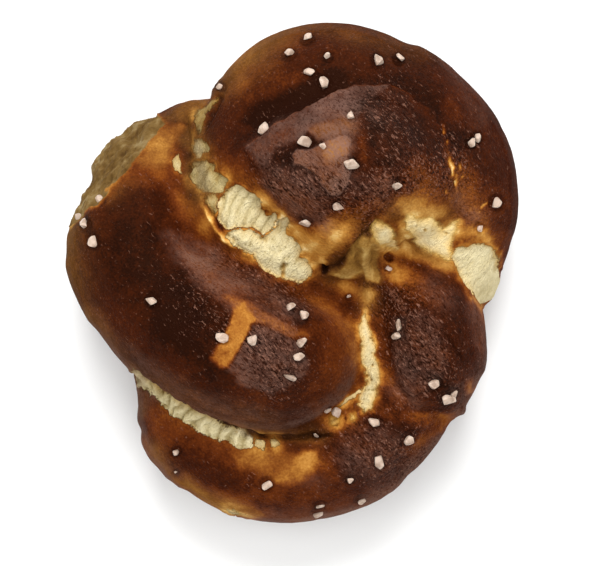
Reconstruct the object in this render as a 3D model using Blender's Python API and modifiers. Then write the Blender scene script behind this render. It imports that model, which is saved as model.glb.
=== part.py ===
"""Pretzel knot: one rope of dough, tied into a single knot and baked.

The knot is one solid. Its lobes are the stretches of the rope that lie on top or on the
outside: the crest, the crown that the crest winds up into, the left lobe, the ring, and
the low tail end. A core stands for the passes hidden inside. The lobes are fused as
rising dough fuses them, and the loaf stands on the flat face that the baking tray left.

Frame: metres, +Z up, the tray face in Z = 0, the origin under the middle of the loaf,
+Y along its length.
"""

from math import radians

import bmesh
import bpy
from mathutils import Matrix, Vector

MM = 0.001

# Driving dimensions of the baked knot, in millimetres.
LENGTH = 100.0
WIDTH = 90.2
HEIGHT = 46.0

# Stations of each lobe: x, y, z of the rope's middle and its radius there, in
# millimetres, on a loaf of the three sizes above.
CREST = (
    (34, 1, 12, 9.5),
    (32, 9, 15.5, 13),
    (30.5, 18, 20, 14),
    (26.5, 25.5, 23, 14),
    (18.5, 31.5, 24, 14),
    (8, 34.5, 24, 15),
    (-1.5, 31.5, 22.5, 14.3),
    (-7, 24.5, 21.5, 12.5),
)
CROWN = (
    (-4, 22, 25.5, 11.5),
    (3, 21.5, 28.5, 14),
    (12, 21.5, 30.5, 15.5),
    (21, 20.5, 27.5, 14),
)
CROWN_TIP = (
    (10, 14.5, 28, 13),
    (8.5, 7.5, 23, 10.5),
    (7.5, 3, 18.5, 7.5),
)
CROWN_FLANK = (
    (15.5, 18, 28, 13),
    (24.5, 16.5, 24.5, 12.5),
    (28, 11.5, 20.5, 9.5),
)
LEFT_LOBE = (
    (-20, 26, 11, 9),
    (-27.5, 19.5, 14, 11.5),
    (-31, 9, 17, 14),
    (-28, -2, 19.5, 14),
    (-19, -10.5, 22, 15.5),
    (-8, -15.5, 24, 15.5),
    (-0.5, -16, 23.5, 14.5),
    (4.5, -14, 22, 11.5),
    (7, -11.5, 20, 8.5),
)
RING = (
    (20.5, -2.5, 20, 8.5),
    (25.5, -7, 21, 11),
    (27.5, -14.5, 20, 11.5),
    (24, -22.5, 17, 11.8),
    (16, -31.5, 14, 13),
    (4.5, -36.3, 13, 14),
    (-8, -35.3, 12.5, 14.5),
    (-18.5, -29.5, 12, 13.5),
)
TAIL = (
    (-10, 26, 11, 10),
    (-20, 24, 9, 11),
    (-29, 20, 8, 10.5),
)

# Torn seams, where the rising dough pulled the lobes apart and the crumb swelled out.
SEAMS = (
    ((-19, 29, 16, 6), (-15, 15, 22, 8), (-7, 8, 24, 8), (1.5, 2, 22.5, 7), (6, -4, 19, 6)),
    ((20, 9, 21, 5), (27, 8, 23, 6.5), (34, 3, 18, 7.5), (36.5, -1, 12, 6)),
    ((15, -4, 21, 4), (16, -14, 23, 4), (15.5, -25, 19, 4.5)),
    ((-28, -21, 14, 4), (-19, -28, 18, 4.5), (-7, -32.5, 20.5, 4.5), (4, -31.5, 19, 4)),
)

# The core is an ellipsoid: its middle and half sizes, in millimetres.
CORE_MIDDLE = (1.5, -2, 8)
CORE_HALF = (36, 42, 17)

# Each lobe sags on to the tray. Its foot is a tube of this share of the lobe's radius, with
# its middle this share of the foot's own radius above the tray.
FOOT_SHARE = 0.93
FOOT_LIFT = 0.92
SAG_STEPS = (0.0, 0.5, 1.0)  # of the way from the lobe down to its foot

# The side that was torn from the next loaf: a point on it and the way it faces.
TEAR_POINT = (-31, 23, 26)
TEAR_TURN = radians(48.5)  # of its outward direction from +Y towards -X
TEAR_LEAN = radians(18)  # back from upright

CURVE_STEPS = 8  # stretches of the tube between two stations
TUBE_SIDES_RESOLUTION = 6  # Blender's bevel resolution, 16 sides
BALL_SEGMENTS = 32
BALL_RINGS = 16

VOXEL = 1.1  # grid that fuses the lobes
CREASE_SMOOTHING = 7  # passes that round the creases between them
TRIANGLE_SHARE = 0.17  # of the fused surface's triangles, those that are kept
CUTTER_SIZE = 300.0  # of the blocks that cut the base and the torn side

CRUST_COLOUR = (0.13, 0.035, 0.012, 1.0)
CRUST_ROUGHNESS = 0.42


def clear_scene():
    """Removes what the startup scene holds."""
    for thing in list(bpy.data.objects):
        bpy.data.objects.remove(thing)


def new_collection(name):
    """A new collection in the scene."""
    made = bpy.data.collections.new(name)
    bpy.context.scene.collection.children.link(made)
    return made


def crust_material():
    """Browned, satin crust."""
    made = bpy.data.materials.new("crust")
    made.use_nodes = True
    shader = made.node_tree.nodes["Principled BSDF"]
    shader.inputs["Base Color"].default_value = CRUST_COLOUR
    shader.inputs["Roughness"].default_value = CRUST_ROUGHNESS
    shader.inputs["Metallic"].default_value = 0.0
    return made


def tube(stations):
    """The mesh of a round tube through the stations, with its caps closed."""
    curve = bpy.data.curves.new("rope", "CURVE")
    curve.dimensions = "3D"
    curve.bevel_depth = MM
    curve.bevel_resolution = TUBE_SIDES_RESOLUTION
    curve.resolution_u = CURVE_STEPS
    curve.use_fill_caps = True
    spline = curve.splines.new("BEZIER")
    spline.radius_interpolation = "CARDINAL"
    spline.bezier_points.add(len(stations) - 1)
    for point, (x, y, z, radius) in zip(spline.bezier_points, stations):
        point.co = Vector((x, y, z)) * MM
        point.radius = radius
        point.handle_left_type = point.handle_right_type = "AUTO"
    rope = bpy.data.objects.new("rope", curve)
    bpy.context.scene.collection.objects.link(rope)
    graph = bpy.context.evaluated_depsgraph_get()
    made = bpy.data.meshes.new_from_object(rope.evaluated_get(graph))
    bpy.data.objects.remove(rope)
    return made


def add_ball(shape, middle, half):
    """Adds an ellipsoid to the bmesh: its middle and its three half sizes, in millimetres."""
    place = Matrix.Translation(Vector(middle) * MM) @ Matrix.Diagonal((*half, 1.0))
    bmesh.ops.create_uvsphere(
        shape, u_segments=BALL_SEGMENTS, v_segments=BALL_RINGS, radius=MM, matrix=place
    )


def add_stretch(shape, stations):
    """Adds a stretch of rope with round ends to the bmesh."""
    stretch = tube(stations)
    shape.from_mesh(stretch)
    bpy.data.meshes.remove(stretch)
    for x, y, z, radius in (stations[0], stations[-1]):
        add_ball(shape, (x, y, z), (radius, radius, radius))


def sagged(stations, share):
    """The stations of a lobe, moved this share of the way down to its foot."""
    lowered = []
    for x, y, z, radius in stations:
        foot_radius = radius * FOOT_SHARE
        foot_z = min(z, foot_radius * FOOT_LIFT)
        lowered.append(
            (x, y, z + (foot_z - z) * share, radius + (foot_radius - radius) * share)
        )
    return lowered


def add_lobe(shape, stations):
    """Adds a lobe of the rope to the bmesh, down to its foot on the tray."""
    for share in SAG_STEPS:
        add_stretch(shape, sagged(stations, share))


def fitted(shape):
    """Scales the joined lobes, so that the loaf above the tray has its driving sizes."""
    low = Vector(map(min, zip(*(v.co for v in shape.verts))))
    high = Vector(map(max, zip(*(v.co for v in shape.verts))))
    scale = Vector(
        (
            WIDTH * MM / (high.x - low.x),
            LENGTH * MM / (high.y - low.y),
            HEIGHT * MM / high.z,
        )
    )
    middle = (low + high) / 2
    bmesh.ops.translate(shape, verts=shape.verts, vec=(-middle.x, -middle.y, 0))
    bmesh.ops.scale(shape, verts=shape.verts, vec=scale)


def block(collection, name):
    """A cutting block with the middle of its top face at its origin."""
    bpy.ops.mesh.primitive_cube_add(size=CUTTER_SIZE * MM)
    made = bpy.context.object
    made.name = name
    made.data.transform(Matrix.Translation((0, 0, -CUTTER_SIZE * MM / 2)))
    made.hide_render = True
    made.display_type = "WIRE"
    for owner in made.users_collection:
        owner.objects.unlink(made)
    collection.objects.link(made)
    return made


def tear_block(collection):
    """The block whose face is the side torn from the next loaf."""
    made = block(collection, "torn_side")
    made.location = Vector(TEAR_POINT) * MM
    made.rotation_euler = (radians(90) + TEAR_LEAN, 0, TEAR_TURN)
    return made


def fused_lobes():
    """The mesh of all the lobes, seams and the core, still as overlapping shells."""
    shape = bmesh.new()
    for stations in (CREST, LEFT_LOBE, RING):
        add_lobe(shape, stations)
    for stations in (CROWN, CROWN_TIP, CROWN_FLANK, TAIL, *SEAMS):
        add_stretch(shape, stations)
    add_ball(shape, CORE_MIDDLE, CORE_HALF)
    bmesh.ops.remove_doubles(shape, verts=shape.verts, dist=1e-6)
    fitted(shape)
    mesh = bpy.data.meshes.new("knot")
    shape.to_mesh(mesh)
    shape.free()
    return mesh


def cut(loaf, name, cutter):
    """Cuts the loaf with a block."""
    made = loaf.modifiers.new(name, "BOOLEAN")
    made.operation = "DIFFERENCE"
    made.object = cutter


def knot(collection, cutters):
    """The whole loaf, fused into one solid with a flat base."""
    mesh = fused_lobes()
    mesh.materials.append(crust_material())
    loaf = bpy.data.objects.new("knot", mesh)
    collection.objects.link(loaf)

    fuse = loaf.modifiers.new("fuse", "REMESH")
    fuse.mode = "VOXEL"
    fuse.voxel_size = VOXEL * MM
    fuse.use_smooth_shade = True

    creases = loaf.modifiers.new("creases", "SMOOTH")
    creases.factor = 0.5
    creases.iterations = CREASE_SMOOTHING

    lighter = loaf.modifiers.new("lighter", "DECIMATE")
    lighter.ratio = TRIANGLE_SHARE

    cut(loaf, "base", block(cutters, "tray"))
    cut(loaf, "torn side", tear_block(cutters))
    return loaf


def main():
    """Builds the pretzel knot."""
    clear_scene()
    collection = new_collection("pretzel knot")
    cutters = new_collection("cutters")
    knot(collection, cutters)


main()
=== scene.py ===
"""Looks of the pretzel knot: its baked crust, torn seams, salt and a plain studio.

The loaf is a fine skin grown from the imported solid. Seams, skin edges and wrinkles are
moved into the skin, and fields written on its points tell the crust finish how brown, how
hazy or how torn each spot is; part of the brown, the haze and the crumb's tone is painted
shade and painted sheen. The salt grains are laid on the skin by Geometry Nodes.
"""

import logging
from dataclasses import dataclass, field
from enum import Enum
from functools import reduce
from itertools import product
from math import radians

import bmesh
import bpy
import numpy as np
from mathutils import Euler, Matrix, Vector

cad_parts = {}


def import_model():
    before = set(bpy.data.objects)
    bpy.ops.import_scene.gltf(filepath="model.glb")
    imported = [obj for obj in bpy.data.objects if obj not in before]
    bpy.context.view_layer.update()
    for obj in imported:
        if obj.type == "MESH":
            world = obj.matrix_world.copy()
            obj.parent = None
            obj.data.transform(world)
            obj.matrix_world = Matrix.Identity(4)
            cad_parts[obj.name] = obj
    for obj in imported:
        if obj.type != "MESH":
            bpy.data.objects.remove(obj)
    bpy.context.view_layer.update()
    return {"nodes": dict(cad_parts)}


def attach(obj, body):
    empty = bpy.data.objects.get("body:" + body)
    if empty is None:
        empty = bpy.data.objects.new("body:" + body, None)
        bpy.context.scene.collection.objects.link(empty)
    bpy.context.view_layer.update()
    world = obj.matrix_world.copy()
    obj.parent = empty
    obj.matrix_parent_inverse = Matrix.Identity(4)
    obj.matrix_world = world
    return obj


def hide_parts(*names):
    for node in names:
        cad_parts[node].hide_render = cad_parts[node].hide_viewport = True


MM = 0.001
BODY = "root"
NODE = "knot"

# The eye that looks straight down on the loaf, and the level of the loaf's outline. Places
# on the loaf's top are given in its plan: in millimetres, as that eye sees them from above
# against a sheet of paper at the outline's level.
EYE = (1.7, -1.2, 420.0)
OUTLINE_LEVEL = 18.0
PLAN_ORIGIN = (0.0, 0.8)
# The direction in which most of the rope runs on the plan, from +X.
ROPE_TURN = radians(-38.0)
# The direction of the finest wrinkles.
WRINKLE_TURN = radians(-48.0)
# The highest value of the tone field, where 1 is plain crumb in the light; above 1 the crumb is
# painted lighter, as painted light where it turns from the lamps.
LIGHTEST = 1.25
# How deep in the crumb, or far from it, the crumb field counts, in millimetres.
CRUMB_DEPTH = 4.0
# How far outside its outline a tear or a patch can matter, in millimetres.
TEAR_REACH = 5.0
PATCH_REACH = 3.0
# Below this height the skin stays on the tray, in millimetres.
TRAY_MARGIN = 0.3
# The solid's points this near each other, in metres, are one.
MERGED = 1e-6
# In how many steps the easing of the inner seams fades out.
EASING_LEVELS = 8

Point = tuple[float, float]
Path = tuple[Point, ...]

log = logging.getLogger("pretzel")


class Field(Enum):
    """The values that the loaf's skin carries at each of its points."""

    BROWNING = "browning"
    CRUMB = "crumb"
    TONE = "tone"
    # Olive crust; on the crumb it stands for painted shade, greying it.
    OLIVE_AND_SHADE = "olive"
    BLOOM = "bloom_and_sheen"
    TORN = "torn"
    LEATHER = "leather"
    AMBER = "amber"


class Slot(Enum):
    """The record's material slots."""

    CRUST = "crust"
    SALT = "salt"


# ---------------------------------------------------------------------------- measuring


def smooth_step(low: float, high: float, values: np.ndarray) -> np.ndarray:
    """Rises smoothly from 0 at low to 1 at high.

    Args:
        low: the value where the step begins.
        high: the value where the step ends; below low, the step falls.
        values: what is stepped.

    Returns:
        The stepped values, from 0 to 1.
    """
    share = np.clip((values - low) / (high - low), 0.0, 1.0)
    return share * share * (3.0 - 2.0 * share)


def bell(distance: np.ndarray, reach: float) -> np.ndarray:
    """1 at no distance, fading softly to both sides."""
    return np.exp(-((distance / reach) ** 2))


def fade(depth: np.ndarray, reach: float | np.ndarray) -> np.ndarray:
    """1 up to an edge, fading with the depth inside it."""
    return np.exp(-np.maximum(depth, 0.0) / reach)


def lattice_noise(points: np.ndarray, cell: float, seed: int) -> np.ndarray:
    """Smooth noise between random values on a cubic lattice.

    Args:
        points: places, one row each, in millimetres.
        cell: the lattice's spacing in millimetres.
        seed: picks the random values.

    Returns:
        One value from -1 to 1 for each point.
    """
    scaled = points / cell
    base = np.floor(scaled)
    part = scaled - base
    part = part * part * (3.0 - 2.0 * part)
    base = base.astype(np.int64)
    total = np.zeros(len(points))
    for corner in product((0, 1), repeat=3):
        x, y, z = (base + corner).T
        mixed = (x * 73856093) ^ (y * 19349663) ^ (z * 83492791) ^ (seed * 2654435761)
        mixed = (mixed ^ (mixed >> 13)) & 0xFFFFFFFF
        mixed = (mixed * 1274126177) & 0xFFFFFFFF
        mixed = (mixed ^ (mixed >> 16)) & 0xFFFF
        weight = np.prod(np.where(corner, part, 1.0 - part), axis=1)
        total += weight * (mixed / 32767.5 - 1.0)
    return total


def ridges(points: np.ndarray, cell: float, seed: int) -> np.ndarray:
    """Noise from -1 to 1 with sharp ridges."""
    return 1.0 - 2.0 * np.abs(lattice_noise(points, cell, seed))


def fractal(points: np.ndarray, cell: float, seed: int, octaves: int = 3) -> np.ndarray:
    """Noise whose detail halves in size and strength, octave after octave.

    Args:
        points: places, one row each, in millimetres.
        cell: the size of the largest detail in millimetres.
        seed: picks the random values.
        octaves: how many sizes of detail there are.

    Returns:
        One value for each point, mostly from -1 to 1.
    """
    total = np.zeros(len(points))
    for octave in range(octaves):
        total += lattice_noise(points, cell / 2**octave, seed + octave) / 2**octave
    return total / (2.0 - 0.5 ** (octaves - 1))


@dataclass
class Trace:
    """How points lie to a path.

    Attributes:
        distance: from the path, in millimetres.
        along: how far along the path the nearest place is, in millimetres.
        left: +1 to the left of the path's direction and -1 to its right.
        length: of the whole path, in millimetres.
    """

    distance: np.ndarray
    along: np.ndarray
    left: np.ndarray
    length: float


def trace(points: np.ndarray, path: Path) -> Trace:
    """Measures plan points against a path.

    Args:
        points: plan points, one row each, in millimetres.
        path: the path's corners in the plan.

    Returns:
        How each point lies to the path.
    """
    distance = np.full(len(points), np.inf)
    along = np.zeros(len(points))
    left = np.ones(len(points))
    walked = 0.0
    for start, end in zip(np.array(path[:-1]), np.array(path[1:])):
        step = end - start
        length = float(np.hypot(*step))
        offset = points - start
        share = np.clip(offset @ step / length**2, 0.0, 1.0)
        gap = offset - share[:, None] * step
        here = np.hypot(gap[:, 0], gap[:, 1])
        closer = here < distance
        distance[closer] = here[closer]
        along[closer] = walked + share[closer] * length
        side = step[0] * offset[:, 1] - step[1] * offset[:, 0]
        left[closer] = np.where(side[closer] >= 0, 1.0, -1.0)
        walked += length
    return Trace(distance, along, left, walked)


def depth_inside(points: np.ndarray, outline: Path) -> np.ndarray:
    """How deep plan points lie inside a closed outline.

    Args:
        points: plan points, one row each, in millimetres.
        outline: the outline's corners, without the first one repeated.

    Returns:
        Millimetres from the outline, positive inside and negative outside.
    """
    closed = outline + outline[:1]
    inside = np.zeros(len(points), bool)
    x, y = points.T
    for (ax, ay), (bx, by) in zip(closed[:-1], closed[1:]):
        if ay == by:
            continue
        crosses = (ay > y) != (by > y)
        inside ^= crosses & (x < (bx - ax) * (y - ay) / (by - ay) + ax)
    distance = trace(points, closed).distance
    return np.where(inside, distance, -distance)


# ------------------------------------------------------------------- marks on the loaf


def path(*numbers: float) -> Path:
    """A path on the plan, from its places' x and y in turn."""
    return tuple(zip(numbers[::2], numbers[1::2]))


@dataclass(frozen=True)
class Stroke:
    """A soft stroke on the plan, from one place to another.

    Attributes:
        start: where it begins.
        end: where it ends.
        reach: how far it spreads to each side, in millimetres.
        amount: its strength in the middle.
    """

    start: Point
    end: Point
    reach: float
    amount: float

    def laid(self, plan: np.ndarray) -> np.ndarray:
        """The stroke's strength at each plan point."""
        distance = trace(plan, (self.start, self.end)).distance
        return self.amount * bell(distance, self.reach)


def strokes(*rows: tuple[float, ...]) -> tuple[Stroke, ...]:
    """Strokes, from rows of their start, end, reach and amount."""
    return tuple(Stroke((a, b), (c, d), reach, amount) for a, b, c, d, reach, amount in rows)


@dataclass(frozen=True)
class Patch:
    """A patch of crust with a bake of its own.

    Attributes:
        outline: its edge on the plan.
        browning: how dark it is baked, from 0, cream, to 1, the darkest brown.
        bloom_and_sheen: how hazy it is, from 0 to 1; the haze is partly real and partly painted
            sheen.
        olive: how olive it is, from 0 to 1.
        soft: how wide its border is to each side, in millimetres.
    """

    outline: Path
    browning: float
    bloom_and_sheen: float = 0.0
    olive: float = 0.0
    soft: float = 0.4

    def share(self, plan: np.ndarray, place: np.ndarray) -> np.ndarray:
        """How fully the patch covers each point.

        Args:
            plan: the points on the plan.
            place: the points in space, in millimetres.

        Returns:
            From 0 outside it to 1 well inside it.
        """
        soft = self.soft * (1.1 + 0.7 * lattice_noise(place, 4.0, 95))
        depth = depth_inside(plan, self.outline) + 0.3 * soft * lattice_noise(place, 1.4, 96)
        return np.clip(0.5 + 0.5 * depth / np.maximum(soft, 0.15), 0.0, 1.0)


@dataclass(frozen=True)
class Groove:
    """A crease or crack that follows a path.

    Attributes:
        path: its corners on the plan.
        width: how far it spreads to each side, in millimetres.
        depth: how deep it is in the middle.
        shade_and_gilt: how much darker it is than its surroundings, as painted shade in the crease;
            below 0 it is paler and golden.
        broken: whether it comes and goes.
    """

    path: Path
    width: float
    depth: float
    shade_and_gilt: float = 0.15
    broken: bool = False

    def laid(self, plan: np.ndarray) -> np.ndarray:
        """How much of the groove's depth and stain each plan point has.

        Args:
            plan: the points on the plan.

        Returns:
            From 0 outside the groove to 1 in its middle.
        """
        traced = trace(plan, self.path)
        taper = self.width * 3.0
        ends = smooth_step(0.0, taper, traced.along) * smooth_step(
            traced.length, traced.length - taper, traced.along
        )
        laid = bell(traced.distance, self.width) * (0.25 + 0.75 * ends)
        if self.broken:
            gaps = np.column_stack([plan / (0.7, 1.2), traced.along / 1.6])
            laid = laid * smooth_step(-0.2, 0.3, lattice_noise(gaps, 1.0, 57))
        return laid


@dataclass(frozen=True)
class Flap:
    """A patch of skin that has lifted a little along its edge.

    Attributes:
        outline: its edge on the plan.
        lift: how far the edge stands up, in millimetres.
        shade_and_gilt: how much darker the crust is just outside it, as a painted shadow.
    """

    outline: Path
    lift: float
    shade_and_gilt: float = 0.12

    def relief(self, depth: np.ndarray) -> np.ndarray:
        """How far points at these depths inside the flap move out, in millimetres."""
        return self.lift * smooth_step(-0.15, 0.3, depth) * fade(depth, 2.5)

    def shadow(self, depth: np.ndarray) -> np.ndarray:
        """How much darker the crust is at these depths."""
        return self.shade_and_gilt * bell(np.minimum(depth, 0.0), 0.8) * (depth < 0.2)


@dataclass(frozen=True)
class Grain:
    """A grain of coarse salt on the plan.

    Attributes:
        x: how far right it lies on the plan, in millimetres.
        y: how far up it lies on the plan, in millimetres.
        length: of the grain, in millimetres.
        width: of the grain, in millimetres.
        turn: of its length from +X, in degrees.
    """

    x: float
    y: float
    length: float
    width: float
    turn: float

    def seat(self, plan: np.ndarray) -> np.ndarray:
        """How much of the dip round the grain each plan point has.

        Args:
            plan: the points on the plan.

        Returns:
            1 under the grain, falling to 0 about half a millimetre outside it.
        """
        offset = plan - np.array((self.x, self.y))
        cosine, sine = np.cos(radians(self.turn)), np.sin(radians(self.turn))
        along = offset[:, 0] * cosine + offset[:, 1] * sine
        across = offset[:, 1] * cosine - offset[:, 0] * sine
        rim = np.hypot(along / (self.length / 2 + 0.2), across / (self.width / 2 + 0.2))
        return smooth_step(1.5, 0.9, rim)


@dataclass(frozen=True)
class Tear:
    """A place where the skin tore and the crumb swelled out.

    Attributes:
        outline: the torn skin's edge on the plan.
        course: a line along the tear; the crumb's strands stand across it.
        swell: how far the crumb bulges, in millimetres.
        tone: how light the crumb is where the course starts and where it ends; in the shaded seams
            and at the tray seam's left end it is painted shade, and above 1 painted light.
        strand: from one strand to the next, in millimetres.
        crease: depth of the creases between the strands, in millimetres; they are also darkened as
            painted shade.
        sponge: depth of the crumb's pores, in millimetres; they are also darkened as painted shade.
        lip: how far the skin's edge stands over the crumb, in millimetres.
        gilt: how golden the skin is along the tear.
        gilt_reach: how far that gold reaches, in millimetres.
        amber: how golden the crumb is along its edge.
        amber_reach: how far into the crumb that reaches, in millimetres.
    """

    outline: Path
    course: Path
    swell: float = 0.5
    tone: tuple[float, float] = (1.0, 1.0)
    strand: float = 1.4
    crease: float = 0.0
    sponge: float = 0.25
    lip: float = 0.4
    gilt: float = 0.35
    gilt_reach: float = 1.1
    amber: float = 0.6
    amber_reach: float = 0.5


@dataclass
class OpenTear:
    """One tear as it lies on the skin's points.

    Attributes:
        tear: the tear.
        plan: the points on the plan.
        place: the points in space, in millimetres.
        depth: how deep each point lies inside the tear, in millimetres.
    """

    tear: Tear
    plan: np.ndarray
    place: np.ndarray
    depth: np.ndarray

    def __post_init__(self) -> None:
        """Measures the strands and pores that relief and tone share."""
        tear, place = self.tear, self.place
        self.traced = trace(self.plan, tear.course)
        self.inside = smooth_step(-0.15, 0.35, self.depth)
        drift = 0.42 * lattice_noise(place, 2.8, 47) + 0.16 * lattice_noise(place, 1.2, 48)
        phase = np.pi * (self.traced.along / tear.strand + drift)
        depth = 0.65 + 0.5 * lattice_noise(place, 2.2, 49)
        thin = 0.3 * (1.0 - np.abs(np.sin(2.37 * phase + drift)) ** 0.6)
        self.rounded = np.abs(np.sin(phase))
        self.creased = (1.0 - self.rounded**0.5 + thin) * depth
        across = self.traced.left * self.traced.distance
        slanted = np.column_stack([self.traced.along / 0.42, across / 1.0, 0.0 * across])
        where = smooth_step(-0.25, 0.35, lattice_noise(place, 3.0, 52))
        self.pored = where * smooth_step(0.42, 0.85, lattice_noise(slanted, 1.0, 51))

    def relief(self) -> np.ndarray:
        """How far each point moves out.

        Returns:
            Millimetres along the skin's normals.
        """
        tear, place, depth = self.tear, self.place, self.depth
        flaky = 0.35 + 0.65 * lattice_noise(place, 1.1, 41)
        moved = 0.3 * bell(depth + 0.4, 0.35) * flaky * (tear.lip > 0.2)
        moved -= self.inside * tear.lip
        moved += tear.swell * (1.0 - fade(depth, 1.4))
        lumps = 0.22 * lattice_noise(place, 2.4, 43) + 0.1 * lattice_noise(place, 1.0, 44)
        pillars = 0.6 * tear.crease * np.minimum(self.rounded - 0.6, 0.4)
        worn = tear.crease * self.creased + tear.sponge * self.pored
        return moved + self.inside * (lumps + pillars - worn)

    def tone(self) -> np.ndarray:
        """How light the crumb is at each point.

        Returns:
            1 for plain crumb in the light, and less where it is darker.
        """
        start, end = self.tear.tone
        lit = start + (end - start) * self.traced.along / self.traced.length
        # Creases and pores are darkened as painted shade.
        lit -= min(self.tear.crease, 0.7) * 1.1 * self.creased
        lit -= min(self.tear.sponge * 1.6, 0.6) * self.pored
        lit += 0.08 * lattice_noise(self.place, 1.6, 53)
        return lit - 0.12 * fade(self.depth, 0.4)

    def amber(self) -> np.ndarray:
        """How golden the crumb is at each point.

        Returns:
            From 0, plain, to 1, golden and glassy.
        """
        ragged = 1.0 + 0.5 * lattice_noise(self.place, 1.3, 46)
        reach = np.maximum(self.tear.amber_reach * ragged, 0.1)
        return self.tear.amber * fade(self.depth, reach)

    def gilding(self) -> np.ndarray:
        """How much lighter the skin is baked at each point near the tear."""
        ragged = 0.75 + 0.6 * lattice_noise(self.place, 1.5, 45)
        return self.tear.gilt * ragged * bell(np.minimum(self.depth, 0.0), self.tear.gilt_reach)
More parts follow.
